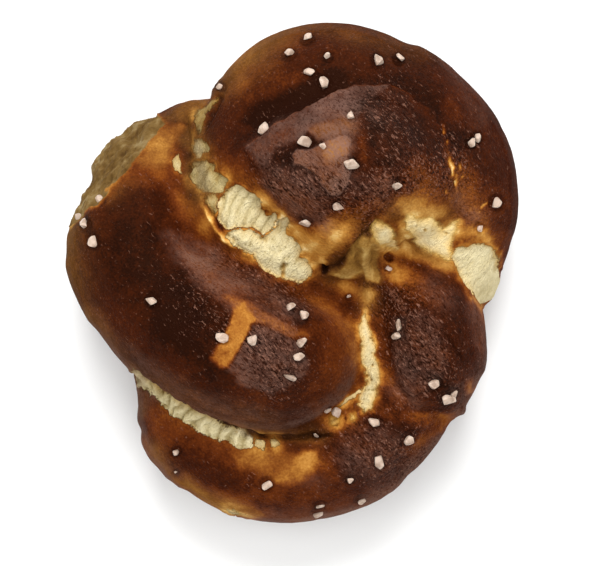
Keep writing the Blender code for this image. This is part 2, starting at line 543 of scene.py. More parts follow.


# Where the skin is torn open and the crumb shows. A low tone paints shade on the crumb in the
# shaded seams and at the tray seam's left end, under the left lobe; a tone above 1 paints light
# on crumb that turns from the lamps.
TEARS: dict[str, Tear] = {
    "crest seam, upper row": Tear(
        path(
            -14.7, 11, -14.6, 14, -13.7, 16, -11.2, 17.6, -8.3, 16, -5.4, 14.4, -6.3, 12.7,
            -4.9, 11.8, -3.3, 12, -2.5, 10.9, -4, 8.6, -5.4, 7.5, -6.8, 8.3, -7.8, 9.3, -10.6, 9.3,
            -13.4, 8.6,
        ),
        path(-16, 13.6, -8.5, 11, 0, 6.6),
        swell=0.9, strand=1.9, crease=0.42, sponge=0, lip=0.5, gilt=0.22, gilt_reach=0.9, amber=0.5,
        amber_reach=0.4,
    ),
    "crest seam, lower row": Tear(
        path(
            -13.5, 7.6, -12.6, 8.3, -10.6, 8.8, -7.8, 8.8, -6.9, 7.8, -5.4, 7, -3.8, 8.3,
            -2.2, 10.7, -0.9, 11.6, -0.2, 10.2, -1.2, 8.2, 0.5, 7.3, 2, 4.6, 1.5, 3, 2.8, 2.3,
            4.1, 0.9, 4.1, -0.7, 1.7, -1.9, -1.7, -1.1, -4.3, -0.4, -5.2, 0.6, -6.6, 2, -8, 3.5,
            -10.9, 5.2,
        ),
        path(-13, 7.6, -6, 4.6, 4, -1.5),
        swell=0.9, strand=2.6, crease=0.12, sponge=0.24, lip=0.5, gilt=0.42, amber=0.65,
    ),
    "crest seam, shaded": Tear(
        path(
            -20.4, 21.4, -19, 22.4, -17.2, 22.6, -15.4, 22, -15.4, 20.5, -13.9, 19.9, -12.9, 18.5,
            -13.5, 16.5, -15, 15.8, -17.5, 16.4, -19.5, 18, -20.5, 19.8,
        ),
        path(-20, 21, -13, 17.5),
        swell=0.9, tone=(0.55, 0.7), strand=3.1, crease=0.4, sponge=0, gilt=0.28, gilt_reach=1.5,
        amber=0.25,
    ),
    "crest seam, shaded lump": Tear(
        path(-20.3, 25.2, -19.4, 26.6, -17.8, 26.6, -16.4, 25, -18.8, 23.1),
        path(-20, 25, -16.5, 25),
        swell=0.7, tone=(0.66, 0.7), strand=2.2, crease=0.25, sponge=0, gilt=0.2, amber=0.25,
    ),
    "crest seam, pocket": Tear(
        path(-17.2, 15, -15.8, 16, -14.8, 14.8, -14.9, 12.2, -15.9, 11.4),
        path(-17, 13, -15, 13),
        tone=(0.6, 0.64), strand=1.2, crease=0.3, sponge=0,
    ),
    "crest seam, start": Tear(
        path(-14.3, 35.4, -17.1, 31.8, -18.6, 28, -19.4, 30.2, -18.6, 32.5),
        path(-15, 36, -19, 28),
        tone=(0.4, 0.46), strand=3, sponge=0, gilt=0.2, lip=0.1, amber=0.2,
    ),
    "crest seam, sliver": Tear(
        path(-23.9, 22.4, -22.9, 24, -22.2, 22, -21.9, 19.9, -22.9, 20.4),
        path(-22.5, 24.4, -22, 20),
        tone=(0.7, 0.76), strand=5, sponge=0, lip=0, gilt=0.2, gilt_reach=0.8, amber=0.5,
    ),
    "ring seam, inner": Tear(
        path(
            22.7, 10.6, 23.4, 11.7, 25.3, 11.2, 27.8, 11.1, 29.6, 10.2, 30.3, 8.8, 31.8, 9.9,
            33.6, 10.6, 33.5, 9.2, 32.4, 7.4, 31.9, 5.3, 32.2, 2.7, 31.2, 2.6, 29, 3.4, 26.7, 4.5,
            25, 5.7, 23.9, 7.6, 22.8, 9,
        ),
        path(23, 11, 33, 3),
        tone=(1.25, 1.2), strand=3, crease=0.12, sponge=0.16, lip=0.12, gilt=0.42, gilt_reach=1.2,
        amber=1, amber_reach=1.9,
    ),
    "ring seam, outer": Tear(
        path(
            31.9, 4, 34.1, 5.5, 36.7, 5.8, 39.2, 5.6, 40.6, 4.5, 41.7, 1.1, 50, -3.5, 50, -9,
            39.6, -9.2, 38.4, -7.2, 37, -5, 35.3, -2.4, 33.6, -0.1, 32.4, 2.4,
        ),
        path(33, 6, 40, -8),
        swell=0.3, tone=(1.05, 1), strand=1.7, crease=0.1, sponge=0.05, lip=0.3, gilt=0.42,
        gilt_reach=1.3, amber=0.7, amber_reach=0.35,
    ),
    "valley tuft": Tear(
        path(
            16, 9.6, 17, 10.6, 18, 10.6, 19.6, 9.6, 20.8, 7.8, 21, 4.6, 19.4, 4.9, 17.6, 5.6,
            16.4, 6.8,
        ),
        path(16.5, 10, 21, 5),
        swell=1, tone=(1.05, 1.25), strand=2.4, crease=0.1, sponge=0.12, gilt=0.3, gilt_reach=1,
        amber=1, amber_reach=1.9,
    ),
    "lobe seam": Tear(
        path(
            14.8, -8, 15.7, -10.8, 16.6, -13.7, 16.8, -16.5, 17.8, -19.4, 18, -21.7, 17.4, -22.8,
            16.8, -25.1, 16, -27.1, 14.6, -28, 13.6, -26.5, 13.6, -23.9, 15.2, -22, 15.1, -20.8,
            14.3, -18.8, 13.7, -16.8, 14, -14.5, 13.6, -12.3, 13.7, -10,
        ),
        path(14.8, -8, 16.4, -17, 15.4, -27.5),
        swell=0.6, tone=(1, 0.9), strand=2.6, crease=0.12, sponge=0.28, lip=0.25, gilt=0.45,
        gilt_reach=0.8, amber=0.85, amber_reach=0.6,
    ),
    "lobe seam, strand": Tear(
        path(13.7, -23.2, 14, -24, 11.9, -25.4, 9.6, -26.8, 11, -24.9),
        path(13.5, -22, 10.5, -26),
        tone=(0.95, 0.9), lip=0, gilt=0.45,
    ),
    "lobe seam, tuft": Tear(
        path(8, -28.2, 9.6, -28, 10, -29.2, 9.2, -30.6, 7.8, -30.2),
        path(9, -28, 8.5, -30),
        swell=0.7, tone=(0.8, 0.7), lip=0, gilt=0.3, amber=1, amber_reach=2,
    ),
    "lobe seam, crumbs": Tear(
        path(11.9, -28.4, 12.9, -28.2, 13, -29, 12, -29.4),
        path(12.5, -28, 12.5, -29.8),
        tone=(0.85, 0.8), lip=0, amber=1, amber_reach=2,
    ),
    "tray seam": Tear(
        path(
            -31.8, -19.4, -29.8, -20.6, -27.8, -22.2, -25.2, -24.5, -22.4, -25.9, -19.4, -28,
            -17.3, -28.2, -15, -29.8, -12.2, -31, -9.9, -31.3, -8, -32.8, -7.6, -34.5, -8.2, -35.1,
            -10.2, -35.1, -11.9, -34.5, -13.2, -33.7, -14.7, -34, -15.8, -32.9, -18.4, -31.9,
            -19.6, -30.8, -21.9, -29.8, -24, -28.6, -25.4, -26.7, -27.6, -24.6, -29.8, -22.9,
            -31.6, -23.6,
        ),
        path(-30, -21, -19, -29.6, -9, -33.6, 0, -34.4),
        swell=1.3, tone=(0.98, 1.12), strand=2.4, crease=0.65, sponge=0.06, lip=0.3, gilt=0.1,
        amber=0.12, amber_reach=0.3,
    ),
    "tray seam, first lump": Tear(
        path(-7.3, -33.1, -5.9, -33.6, -5, -34.6, -5.8, -35.5, -7.2, -34.6),
        path(-7, -34, -5, -34.6),
        swell=0.9, tone=(0.92, 0.88), strand=3, sponge=0, lip=0.1, gilt=0.3,
    ),
    "tray seam, second lump": Tear(
        path(-4.4, -33.2, -3, -33.1, -2.3, -34.3, -3.4, -34.8, -4.4, -34.3),
        path(-4.4, -34, -2.4, -34),
        swell=0.7, tone=(0.82, 0.76), strand=3, sponge=0, lip=0.1, gilt=0.3,
    ),
    "rim crumb": Tear(
        path(-12.8, -47, -10.5, -48.1, -8, -49, -7, -56, -16, -56),
        path(-16, -47, -8, -50),
        tone=(0.9, 0.95), lip=0.1, gilt=0.4, gilt_reach=1.6,
    ),
}

# The edge of the crown's skin, and that of the skin at the torn side.
CROWN_EDGE: Path = path(
    -9, 25.4, -5.9, 27.2, -3, 29.7, 2.1, 32.7, 7.3, 35.5, 9.6, 36.6, 13, 37.3, 19.6, 37.3,
    23.6, 35.5, 28.4, 32.3, 30.7, 27.4,
)

SKIN_EDGE: Path = path(
    -48, 6, -43.6, 10.6, -41.3, 12.4, -38.9, 13.9, -33.1, 20, -28.8, 26, -25.2, 30, -27, 31.8,
    -29, 36,
)

# The crust's patches, each laid over those before it. Their haze is partly painted sheen, as on
# the left lobe's sheen.
PATCHES: dict[str, Patch] = {
    "crown, matte skin": Patch(CROWN_EDGE[:8] + path(
        15.6, 34.5, 13.6, 32, 10.4, 31.4, 7, 30.2, 4.1, 29.2, 2.6, 27.8, 0.1, 26.2, -2.7, 24.7,
        -4.4, 22.4, -5.6, 21.6, -7, 23.4,
    ), 0.9, bloom_and_sheen=0.76, soft=0.25),
    "crown, matte skin's dark end": Patch(path(
        -9, 25.4, -3, 29.7, 1, 31.5, 1.5, 28.5, 0.1, 26.2, -2.7, 24.7, -5.6, 21.6, -7, 23.4,
    ), 0.8, bloom_and_sheen=0.5, soft=1.2),
    "crown, warm middle": Patch(path(
        3.2, 29, 7, 30.3, 10.4, 31.6, 12.8, 31, 13.6, 28.4, 11.5, 27.4, 8.7, 26.9, 5.5, 26.4,
    ), 0.7, bloom_and_sheen=0.9, olive=0.3, soft=1),
    "crown, dark side": Patch(path(
        14, 32.5, 16.3, 35.6, 18, 36.6, 22.5, 35.6, 25.5, 32.5, 26.5, 27, 24, 22.8, 20, 20.8,
        16, 22, 15.2, 25.5, 13.8, 29,
    ), 0.94, bloom_and_sheen=0.06, soft=0.9),
    "crown, grey spot": Patch(path(
        15.4, 32.3, 17.3, 32.5, 17.7, 31, 16.4, 30.2,
    ), 0.8, bloom_and_sheen=0.55, soft=0.5),
    # A darker hollow by the flake's lifted edge: painted shade.
    "crown, shaded hollow": Patch(path(
        -3.2, 24.4, 0, 26.4, 3.4, 25.4, 1, 24.6, 0.1, 23.9, 0.6, 21.8, -1.5, 20.8, -4.4, 21.6,
    ), 0.95),
    "crown, wrinkled slope": Patch(path(
        -4, 21, 0.6, 21.4, 4, 20, 6, 17.5, 8, 15.5, 5.5, 10.5, 1, 11, -3, 13.6, -6, 17.6,
    ), 0.78, bloom_and_sheen=0.45, soft=1.1),
    "crown, flake": Patch(path(
        0.1, 23.9, 1, 24.6, 4.7, 24.7, 6.4, 26.2, 8.7, 26.9, 11.3, 27.3, 12, 26.3, 11.3, 24.6,
        11.8, 20, 11, 17.4, 9.9, 15.7, 7.6, 15.9, 5.9, 18, 4.1, 20.3, 1.6, 21.5, 0.6, 21.7,
    ), 0.68, bloom_and_sheen=1, soft=0.2),
    "crown, flake's light corner": Patch(path(
        5, 24.8, 8.7, 26.6, 11.2, 27, 11.6, 26, 10.5, 23, 7, 22,
    ), 0.53, bloom_and_sheen=0.95, olive=0.3, soft=1.2),
    "crown, side patch": Patch(path(
        17, 19.5, 20, 20, 21.5, 17, 18, 15.5, 16, 17,
    ), 0.7, bloom_and_sheen=0.42, soft=0.8),
    "left lobe, sheen": Patch(path(
        -24.3, 7.7, -20, 5.4, -15.7, 4.3, -12.3, 1.2, -8.6, -1.1, -4.3, -3.4, -4.3, -6.3,
        -7.2, -5.1, -10.6, -4.5, -11.4, -6.5, -14, -4.6, -16.9, -2.8, -19.2, -0.5, -21.2, 2.3,
        -22.8, 4.6,
    ), 0.68, bloom_and_sheen=0.78, soft=1.8),
    "left lobe, sheen's end": Patch(path(
        -8.6, -1.6, -3, -3.4, 2.5, -6.6, 1.5, -9.8, -2.3, -9.3, -7.5, -6,
    ), 0.8, bloom_and_sheen=0.42, soft=0.9),
    "left lobe, haze": Patch(path(
        -7.8, -10.8, -4.9, -10.6, -0.9, -12.7, 1.2, -13.6, 3.4, -17.7, 2.9, -20.3, 0.6, -22,
        -3.7, -24, -7.2, -23.1, -10.6, -22, -12.4, -19.4, -10.5, -15.6, -8.6, -12.3,
    ), 0.84, bloom_and_sheen=0.62, soft=0.3),
    "left lobe, dark blot": Patch(path(
        -14, -20, -11.6, -20.2, -10.8, -21.8, -12.6, -22.2,
    ), 0.96, soft=0.7),
    "left lobe, pale bar": Patch(path(
        -13.9, -4.2, -10, -5, -7.7, -6.2, -5.4, -7.6, -2.3, -9.3, 1.4, -11.6, 0.6, -12.9, -2, -11.8,
        -4.9, -10.4, -7.5, -9.8, -11.4, -7,
    ), 0.6, bloom_and_sheen=0.34),
    "left lobe, pale stem": Patch(path(
        -16.4, -17.1, -12.6, -10.3, -11.5, -6.8, -9.5, -6, -6.9, -9.6, -8, -10.5, -8.9, -12.5,
        -10.6, -15.4, -12.6, -18.6, -14, -19.3,
    ), 0.43, soft=0.35),
    "left lobe, lower rim": Patch(path(
        -33, -17.5, -26, -22.8, -20, -26.8, -14, -29.4, -7, -31.2, 0, -31, -4, -27.4, -12, -26,
        -20, -23.6, -27, -19.4, -32, -15,
    ), 0.84, bloom_and_sheen=0.34, olive=0.25, soft=1.6),
    "end, amber slope": Patch(path(
        -31, 22.6, -28, 22, -24, 22.5, -22.8, 19.5, -26, 17.8, -31, 18, -34.2, 19,
    ), 0.66, soft=2),
    "end, gold": Patch(path(
        -25, 29.8, -22.4, 29.9, -21.4, 29, -22.4, 26.8, -23.7, 24.6, -24.2, 22, -25.5, 21,
        -27.5, 20.8, -29.5, 21.2, -31.3, 22.4, -28.7, 26.2, -27, 28,
    ), 0.56, olive=0.3, soft=0.8),
    "end, gold's middle": Patch(path(
        -28.4, 25.4, -26.8, 27.4, -24.4, 27.2, -24.2, 25, -26.2, 23.8,
    ), 0.48, olive=0.35, soft=1.3),
    "end, tail": Patch(path(
        -26.5, 31, -22, 34.6, -15.5, 37, -16.6, 33.8, -19.2, 30.2, -20.6, 29.4, -22.5, 30.2,
        -25, 30.3,
    ), 0.74, olive=0.65, soft=0.8),
    "end, gully": Patch(path(
        -21.2, 29.4, -19.5, 28.2, -19.8, 23, -20.4, 16.5, -21.6, 18.8, -21, 24, -22.3, 27,
    ), 0.68, olive=0.7, soft=0.6),
    "valley, web": Patch(path(
        7.3, -0.2, 9.5, 0.6, 11, 2.5, 12.2, 5.9, 14.4, 7.5, 16, 6.5, 17.7, 4.4, 17.4, 1, 18.1, -0.6,
        17.3, -2.1, 15.3, -1.7, 14.2, -0.4, 11, -1,
    ), 0.44, olive=0.8, soft=0.5),
    "near side, left gold": Patch(path(
        -11.6, -36.6, -8.4, -35.2, -3.4, -35.2, -3.2, -38.5, -4.2, -41, -6.2, -40.5, -8.2, -39.6,
        -10.4, -38.6,
    ), 0.5, olive=0.15, soft=1.1),
    "near side, gold's middle": Patch(path(
        -4.4, -36, -0.2, -35.8, -0.2, -40.6, -4.4, -40.6,
    ), 0.54, olive=0.15, soft=1),
    "near side, right gold": Patch(path(
        -0.6, -38.5, 0.6, -36.6, 2.1, -35.7, 4.7, -35.4, 5.6, -37.3, 4.5, -39.6, 2.4, -41.2,
        -0.4, -42.2, -3.4, -41.9, -3.2, -40.4,
    ), 0.41, olive=0.15, soft=0.7),
    "near side, left rim": Patch(path(
        -23, -41, -21, -40.4, -15.4, -44.4, -9.5, -47.2, -6, -48.6, -12, -49, -15, -48.6,
        -19, -45.6,
    ), 0.54, olive=0.5, soft=0.9),
    "ring, dark field": Patch(path(
        20.6, -9, 22.5, -8.6, 27, -7.5, 30, -10.5, 31.6, -19.4, 28, -23.4, 24.3, -25.2, 21.4, -22.6,
        20.2, -16,
    ), 0.86, bloom_and_sheen=0.36, soft=0.8),
    "ring, scar": Patch(path(
        18.9, -3, 20, -4.6, 22.6, -8.4, 23.6, -8.2, 20.6, -3.4,
    ), 0.72, bloom_and_sheen=0.5),
    "ring, outer edge": Patch(path(
        36.2, -3.8, 38.4, -7.6, 39.4, -12, 38, -17, 36.6, -12, 35.4, -7,
    ), 0.78, bloom_and_sheen=0.42, soft=0.8),
    "ring, corner": Patch(path(
        12, -32, 17, -30.5, 22, -33, 23.5, -37.5, 19, -42, 12, -41.5, 8.5, -37,
    ), 0.87, bloom_and_sheen=0.34, soft=1.5),
    "ring, warm crease": Patch(path(
        23, -27, 27, -28.2, 31, -28.6, 35, -29.5, 31, -33, 26, -31.5, 22, -29,
    ), 0.66, soft=0.8),
}

# Where a flake of skin has lifted, with a painted shadow beside its edge.
FLAPS: tuple[Flap, ...] = (
    Flap(PATCHES["crown, flake"].outline, 0.4),
    Flap(path(-9, 24.6, -7.3, 26.3, -5.6, 25.6, -4.6, 22, -6.6, 20.8, -8.4, 22.6), 0.15, 0.04),
)

# Creases, cracks and small ridges.
GROOVES: tuple[Groove, ...] = (
    # The crack between the two rows of the crest seam, and its branch.
    Groove(path(
        -13.2, 8, -10.6, 9, -7.7, 9, -6.9, 8, -5.4, 7.2, -4, 8.3, -2.2, 10.9,
    ), 0.3, 0.05, -0.34),
    # The gully beside the left lobe's skin, darkened as painted shade, and that skin's thick pale
    # edge.
    Groove(path(-17, 13.4, -15.8, 10.8, -13.4, 8.2), 0.5, 0.8, 0.2),
    Groove(path(-17.6, 13.4, -16.2, 10.4, -13.5, 6.8, -10.8, 4.9), 0.45, -0.35, -0.4),
    # Two small cracks, darkened as painted shade.
    Groove(path(-1.9, 2.3, -1.7, 0.8, -1.5, -1.2), 0.3, 0.9, 0.45),
    Groove(path(-6.6, 13.2, -5.6, 12.4, -4.6, 12.4), 0.28, 0.6, 0.25),
    # Gully between the crest and the tail end, darkened as painted shade.
    Groove(path(-13.6, 36.5, -16, 31.5, -18.4, 27.5), 0.6, 0.9, 0.2),
    Groove(path(-20.8, 33, -21.2, 28.5, -20.9, 24.5, -20.8, 18.5), 0.8, 0.9, 0.16),
    # The painted shadow line under the left lobe, and the slit that it leads to, darkened as
    # painted shade.
    Groove(path(
        -31, -20, -25.2, -24.4, -19.4, -27.9, -14.3, -30.1, -9.4, -31.4, -5, -33,
    ), 0.34, 0.7, 0.25),
    Groove(path(-13, -30, -8.6, -31.2, -5, -32.2, -1, -32), 0.3, -0.3, -0.2),
    Groove(path(-6.5, -32.6, 0, -32.8, 3.6, -32.4, 8.5, -32.2), 0.5, 1.4, 0.14),
    # Creases on the ring; the darker ones carry painted shade.
    Groove(path(19.5, -21, 21.7, -24, 25.7, -27.9, 29, -29.2, 34.6, -30.4), 1.4, 0.9, -0.05),
    Groove(path(19.8, 1.5, 20.2, -2.5, 21.2, -6), 0.8, 0.3, 0.06),
    Groove(path(18.4, 2.5, 18, -5, 18.6, -12, 19.4, -19), 1.2, 0.4, 0.06),
    Groove(path(29.5, -10.5, 33, -15, 34.5, -18.5), 0.5, 0.3, 0.08),
    Groove(path(24.5, -25, 28.5, -23.2, 32.5, -22.8), 0.4, 0.3, 0.08),
    Groove(path(34.4, -20.5, 34.8, -24.5, 33.2, -28.5), 0.6, 0.35, 0.08),
    # The crown's right side, where the skin has started to tear.
    Groove(path(30.2, 30.2, 31, 26.6, 31.8, 24.2), 0.36, 0.35, -0.5, True),
    Groove(path(31.7, 23.2, 32.3, 21, 33.4, 17), 0.5, 0.4, -0.6, True),
    Groove(path(33.6, 22.2, 34.2, 20.4, 35, 18.2), 0.36, 0.3, -0.5, True),
    Groove(path(30, 17.6, 31.4, 15), 0.4, 0.2, -0.4, True),
    Groove(path(37.3, 12, 39.6, 14.4), 0.24, 0.1, -0.4, True),
    # The crown's lower tip against the valley; its darker creases carry painted shade.
    Groove(path(4.9, 1.6, 6.6, 0.4, 9, 0.9, 11.4, 3.4, 13.4, 6.6, 17.8, 11.4), 0.5, 0.8, 0.1),
    Groove(path(16.2, 6, 16.6, 3, 16.6, -2), 0.6, 0.6, 0.06),
    Groove(path(14.6, 6.6, 15, 2.6, 15.4, -1.6), 0.7, -0.5, -0.12),
    Groove(path(13, 6, 13.4, 2, 14, -0.6), 0.5, 0.5, 0.08),
    Groove(path(8, -0.4, 11, -0.4, 14, -1), 0.3, -0.2, -0.12),
    Groove(path(14.4, 5, 14.4, 0.5, 15, -1.8), 0.3, -0.15, -0.14),
    Groove(path(15.9, 3.4, 16.2, -1.4), 0.3, -0.1, -0.12),
    # The crown skin's thin light edge: a slight ridge, lightened as a painted highlight where it
    # catches the light.
    Groove(CROWN_EDGE[:9], 0.2, -0.1, -0.16),
    Groove(path(21.8, 9.6, 22.2, 7, 24, 4.4, 27.4, 2.4, 31, 0.8), 0.6, 0.35, 0.02),
)

# Place, radius and depth of each pit, in millimetres.
PITS: tuple[tuple[Point, float, float], ...] = (
    ((6.5, 0.5), 0.7, 2), ((19.6, 3), 1, 0.8), ((26.5, 8.9), 0.32, 0.9), ((27.9, 8.7), 0.36, 0.9),
    ((31, 7.9), 0.28, 0.6), ((16.2, -18.6), 0.3, 0.8), ((16.1, -16.2), 0.24, 0.7),
    ((16.5, -13.6), 0.24, 0.6), ((11, -29.2), 0.4, 0.6), ((-16.4, -32.4), 0.26, 0.5),
    ((-22.6, -26.6), 0.26, 0.5), ((-10.9, -31.9), 0.26, 0.5),
)

# How much lighter (less than 0) or darker than the rest the crust is baked.
BAKING: tuple[Stroke, ...] = strokes(
    # Crest.
    (-8, 41, 0, 38.5, 4.5, -0.06), (-12, 41.5, -1, 47.5, 3, -0.1), (-6, 31, 8, 38.6, 2.6, 0.26),
    (6, 41.5, 20, 41, 3.5, 0.03), (2, 48.5, 18, 48, 1.8, -0.04), (26, 39, 36, 24, 3.5, 0.05),
    (31, 34, 32.5, 31, 2, -0.16), (31.4, 25.6, 32.2, 20, 1.3, -0.16), (35, 20, 38, 12, 3, -0.22),
    (33.8, 8.4, 38.5, 7.4, 1.5, -0.42), (38.5, 8, 42, 7, 2, -0.16), (-15, 39, -8, 47, 1.8, -0.12),
    # Crown.
    (13.9, 27.5, 14.6, 23.5, 1, -0.2), (25.5, 19.5, 31, 14.5, 3.4, -0.18),
    (22, 13.8, 29.5, 12.4, 1.7, -0.36), (-13.5, 20.5, -5, 15.5, 2.6, -0.22),
    (-4, 12.5, 3, 6, 2.4, -0.26), (4, 3.6, 13, 8.6, 2.4, -0.3), (9.2, 7.6, 10.8, 9, 1.4, -0.24),
    (3.4, 5, 4.6, 6, 1.2, -0.16), (7, 9, 13, 12, 2.8, -0.14), (17.5, 14, 20, 11.5, 1.8, -0.22),
    (6.5, 3.2, 9.5, 6.4, 1.8, -0.26), (3, 7, 8, 10, 2.2, -0.24), (8, 10.5, 14, 12.6, 2, -0.08),
    (-5.5, 14.8, -2.5, 13.4, 1.4, -0.3), (-17.4, 9.4, -14.4, 6.4, 1.3, -0.12),
    (-13, 4.6, -9, 2.4, 1.2, -0.12), (-1.4, -12, 2, -12.8, 1.4, -0.18),
    (-1, 10.8, 1.6, 9, 1.2, -0.14), (-14, 35, -9.5, 38, 1.6, -0.12),
    (34.5, 14, 37.5, 10, 1.8, -0.12),
    # Valley in the middle.
    (18.6, 4.6, 21, -0.5, 2, -0.46), (22.4, 8.6, 23.6, 5.6, 1.2, -0.24),
    (22, 4.6, 25, 3, 1.2, -0.08), (4, 1.6, 6, 2.2, 1, -0.3), (23, 15.6, 26, 15.2, 2.2, -0.16),
    (22.5, 1, 25.5, -1, 1.6, -0.16), (7, -1.4, 11, -2.4, 1.4, -0.14),
    (11, -3.6, 13.6, -5, 1.6, -0.12), (11.6, -14.5, 12.4, -17.5, 1.6, -0.16),
    (-1.5, -4, 2, -5, 1.8, -0.12), (-1, -11.6, 2, -12.6, 1.2, -0.12),
    (15.8, -4, 15.2, -9, 1.4, -0.24), (10.5, -2.6, 15.5, -4, 1.8, -0.28),
    (18, -8, 18.8, -22, 1.1, -0.1), (22.5, 4.6, 31, 1.2, 1.3, -0.36), (22, 9.5, 22.2, 6, 1.2, -0.3),
    # Left lobe.
    (-45, 9, -44, -7, 3.4, -0.1), (-39.5, -9, -31, -20, 1.8, -0.06),
    (-37.5, 14.4, -34, 17.4, 1.6, -0.16), (-22.5, 15.5, -17.5, 9.5, 2.2, -0.26),
    (-17, 7, -8, 0.5, 1.6, -0.04), (-32, 6, -24, -10, 7, 0.15), (-20, -12, -16, -20, 5, 0.12),
    (-7, -24, 4, -25, 3, -0.05), (4.8, -5.8, 11, -10.5, 2, -0.28),
    (12.6, -9, 12.8, -20, 1.2, -0.18), (8, -12, 8.6, -20, 3.4, -0.11), (6, -28, 12, -26, 1.6, -0.2),
    # Ring.
    (22, -2, 29, -5, 2.8, -0.12), (33, -8, 35.5, -18, 3, 0.06), (18.8, -20, 21.5, -26, 1.6, -0.12),
    (35.8, -21.8, 36.2, -23.4, 1, -0.36), (19, -39, 33, -29.5, 1.6, -0.14),
    (16.5, -27, 19.5, -28.5, 1.4, -0.1), (9.5, -31, 14, -31.5, 1.8, -0.14),
    (-3, -36, -1.4, -37, 1.5, -0.14), (-12, -36, -27, -27.5, 3, -0.16),
    (-29, -26, -26, -35, 2.2, -0.06), (-6, -44, 8, -45.5, 3, -0.1), (3.7, -36, 4, -39, 0.7, -0.12),
    (-4, -40.2, 1, -39.6, 2, -0.2), (7, -29.6, 10.6, -29.6, 1.4, -0.16),
    (3, -40.4, 6, -39, 1.8, -0.12), (7.4, -38, 8.8, -41, 1.6, -0.12),
    (23, -37, 29.5, -31, 1.8, -0.12), (-20, -43.6, -10, -46.5, 1.8, -0.24),
    (-30, -34, -23, -41.5, 1.6, -0.2), (-6, -31.4, 5, -33.6, 1.6, -0.16),
    # Along the near rim, baked lighter as painted light, beside the painted sheen there.
    (-8, -49, 14, -48.4, 1.4, -0.14), (14, -47.5, 31, -35.5, 1.6, -0.1),
)

# Where the crust is more olive than red, and where the crumb is greyed as painted shade: the
# shaded seams and the tray seam under the left lobe.
OLIVE_AND_SHADE_STROKES: tuple[Stroke, ...] = strokes(
    (-19.5, 28, -17.5, 16, 3, 0.7), (-36, 15, -30, 20, 2.2, 0.35), (-46, 9, -45, -8, 4.6, 0.9),
    (-15, 38, -2, 49, 4, 0.6), (2, 50, 30, 43, 2.2, 0.35), (8, 0.5, 13, 4, 2.4, 0.5),
    (15.5, 8, 15.5, -6, 2.2, 0.5), (21, 12.5, 31, 11.5, 2.4, 0.3), (22, 7, 31, 1.4, 1.6, 0.35),
    (-30, -21, -8, -32, 2.2, 0.6), (-31.5, -19, -30.5, -28, 1.2, 0.9), (-28, -35, -24, -41, 2, 0.5),
    (-41, -9, -32, -20, 2.5, 0.55), (-8, -31.4, 6, -32.4, 1.8, 0.5),
)

# Where a soft, greyish haze lies on the crust: partly real and partly painted sheen, as along
# the near rim and the crest's steep edges.
BLOOM_AND_SHEEN_STROKES: tuple[Stroke, ...] = strokes(
    (10.5, 32.5, 15, 35.5, 1.6, 0.3), (7, 10.5, 3, 13.5, 1.8, 0.3), (8, 8.5, 5.5, 11.5, 1.4, 0.35),
    (20.5, -23.5, 25, -26.5, 1.6, 0.35), (-8, -49.5, 14, -48.8, 1.6, 0.5),
    (14, -48, 31, -35, 2.2, 0.9), (33, -25, 37.5, -20, 1.6, 0.5), (12, 18.5, 18, 15.5, 2.4, 0.25),
    (28, -2, 31, -6, 2.4, 0.25), (30, 41, 38, 31, 1.6, 0.2), (33.5, 15, 36.5, 11.5, 1.8, 0.45),
    (-1, -41, 6, -42, 1.4, 0.25),
)

# Where the crust is wrinkled like leather.
WRINKLES: tuple[Stroke, ...] = strokes(
    (-2, 18, 16, 15, 6, 1), (18, 33, 24, 22, 6, 0.8), (22, -6, 27, -18, 8, 1),
    (14, -33, 22, -36, 8, 0.8), (-14, 3, 2, -6, 3, 0.7), (-5, -14, -3, -20, 6, 1),
    (-21, -3, -12, -13, 4, 0.7), (5, 5, 12, 9, 4, 0.8), (33, 26, 37, 10, 4.5, 0.7),
    (26, 17, 31, 20, 4, 0.8),
)

# Places where the solid's inner seams are smoothed away.
EASED: tuple[Stroke, ...] = strokes(
    (-21, 21, -16, 9, 3.2, 1), (-16, 9, -9, 1.5, 3.2, 1), (-9, 1.5, 5, -5, 3, 1),
    (19, 2, 20, -12, 2.5, 0.8),
)

# Where the loaf bulges or dips more than the solid does, in millimetres.
BULGES: tuple[Stroke, ...] = strokes(
    (43, 27, 44, 5, 2.6, 0.75), (37.6, -16, 38, -19, 1.6, 0.5), (42.6, 0.5, 41.6, -3, 1.8, -0.45),
    (-17.5, 36.6, -15, 37.4, 1.4, 0.6), (-38.4, 21, -34.8, 25.4, 2.4, 2),
    (-44.8, 9.8, -42.8, 13.6, 1.6, -0.6), (-44.2, 1, -41, -9, 2.6, 0.9),
    (40.5, 30.5, 26, 44.4, 2.4, 0.6), (31, 41.6, 25.5, 44.4, 2.4, 0.3),
    (-24.5, -40.6, -22.5, -42, 1.8, 0.7), (23, -39.5, 31, -31, 2.4, -1),
    (-33.2, 29.6, -31, 29.6, 1.8, 1.2), (-32, -27, -31.5, -31, 2, -0.7),
    (-30.8, -32, -28.6, -35, 1.6, -0.6), (34.6, -27.6, 34.2, -27.9, 0.8, 0.7),
    (-13.6, -48.6, -13, -48.8, 0.9, 0.7),
)

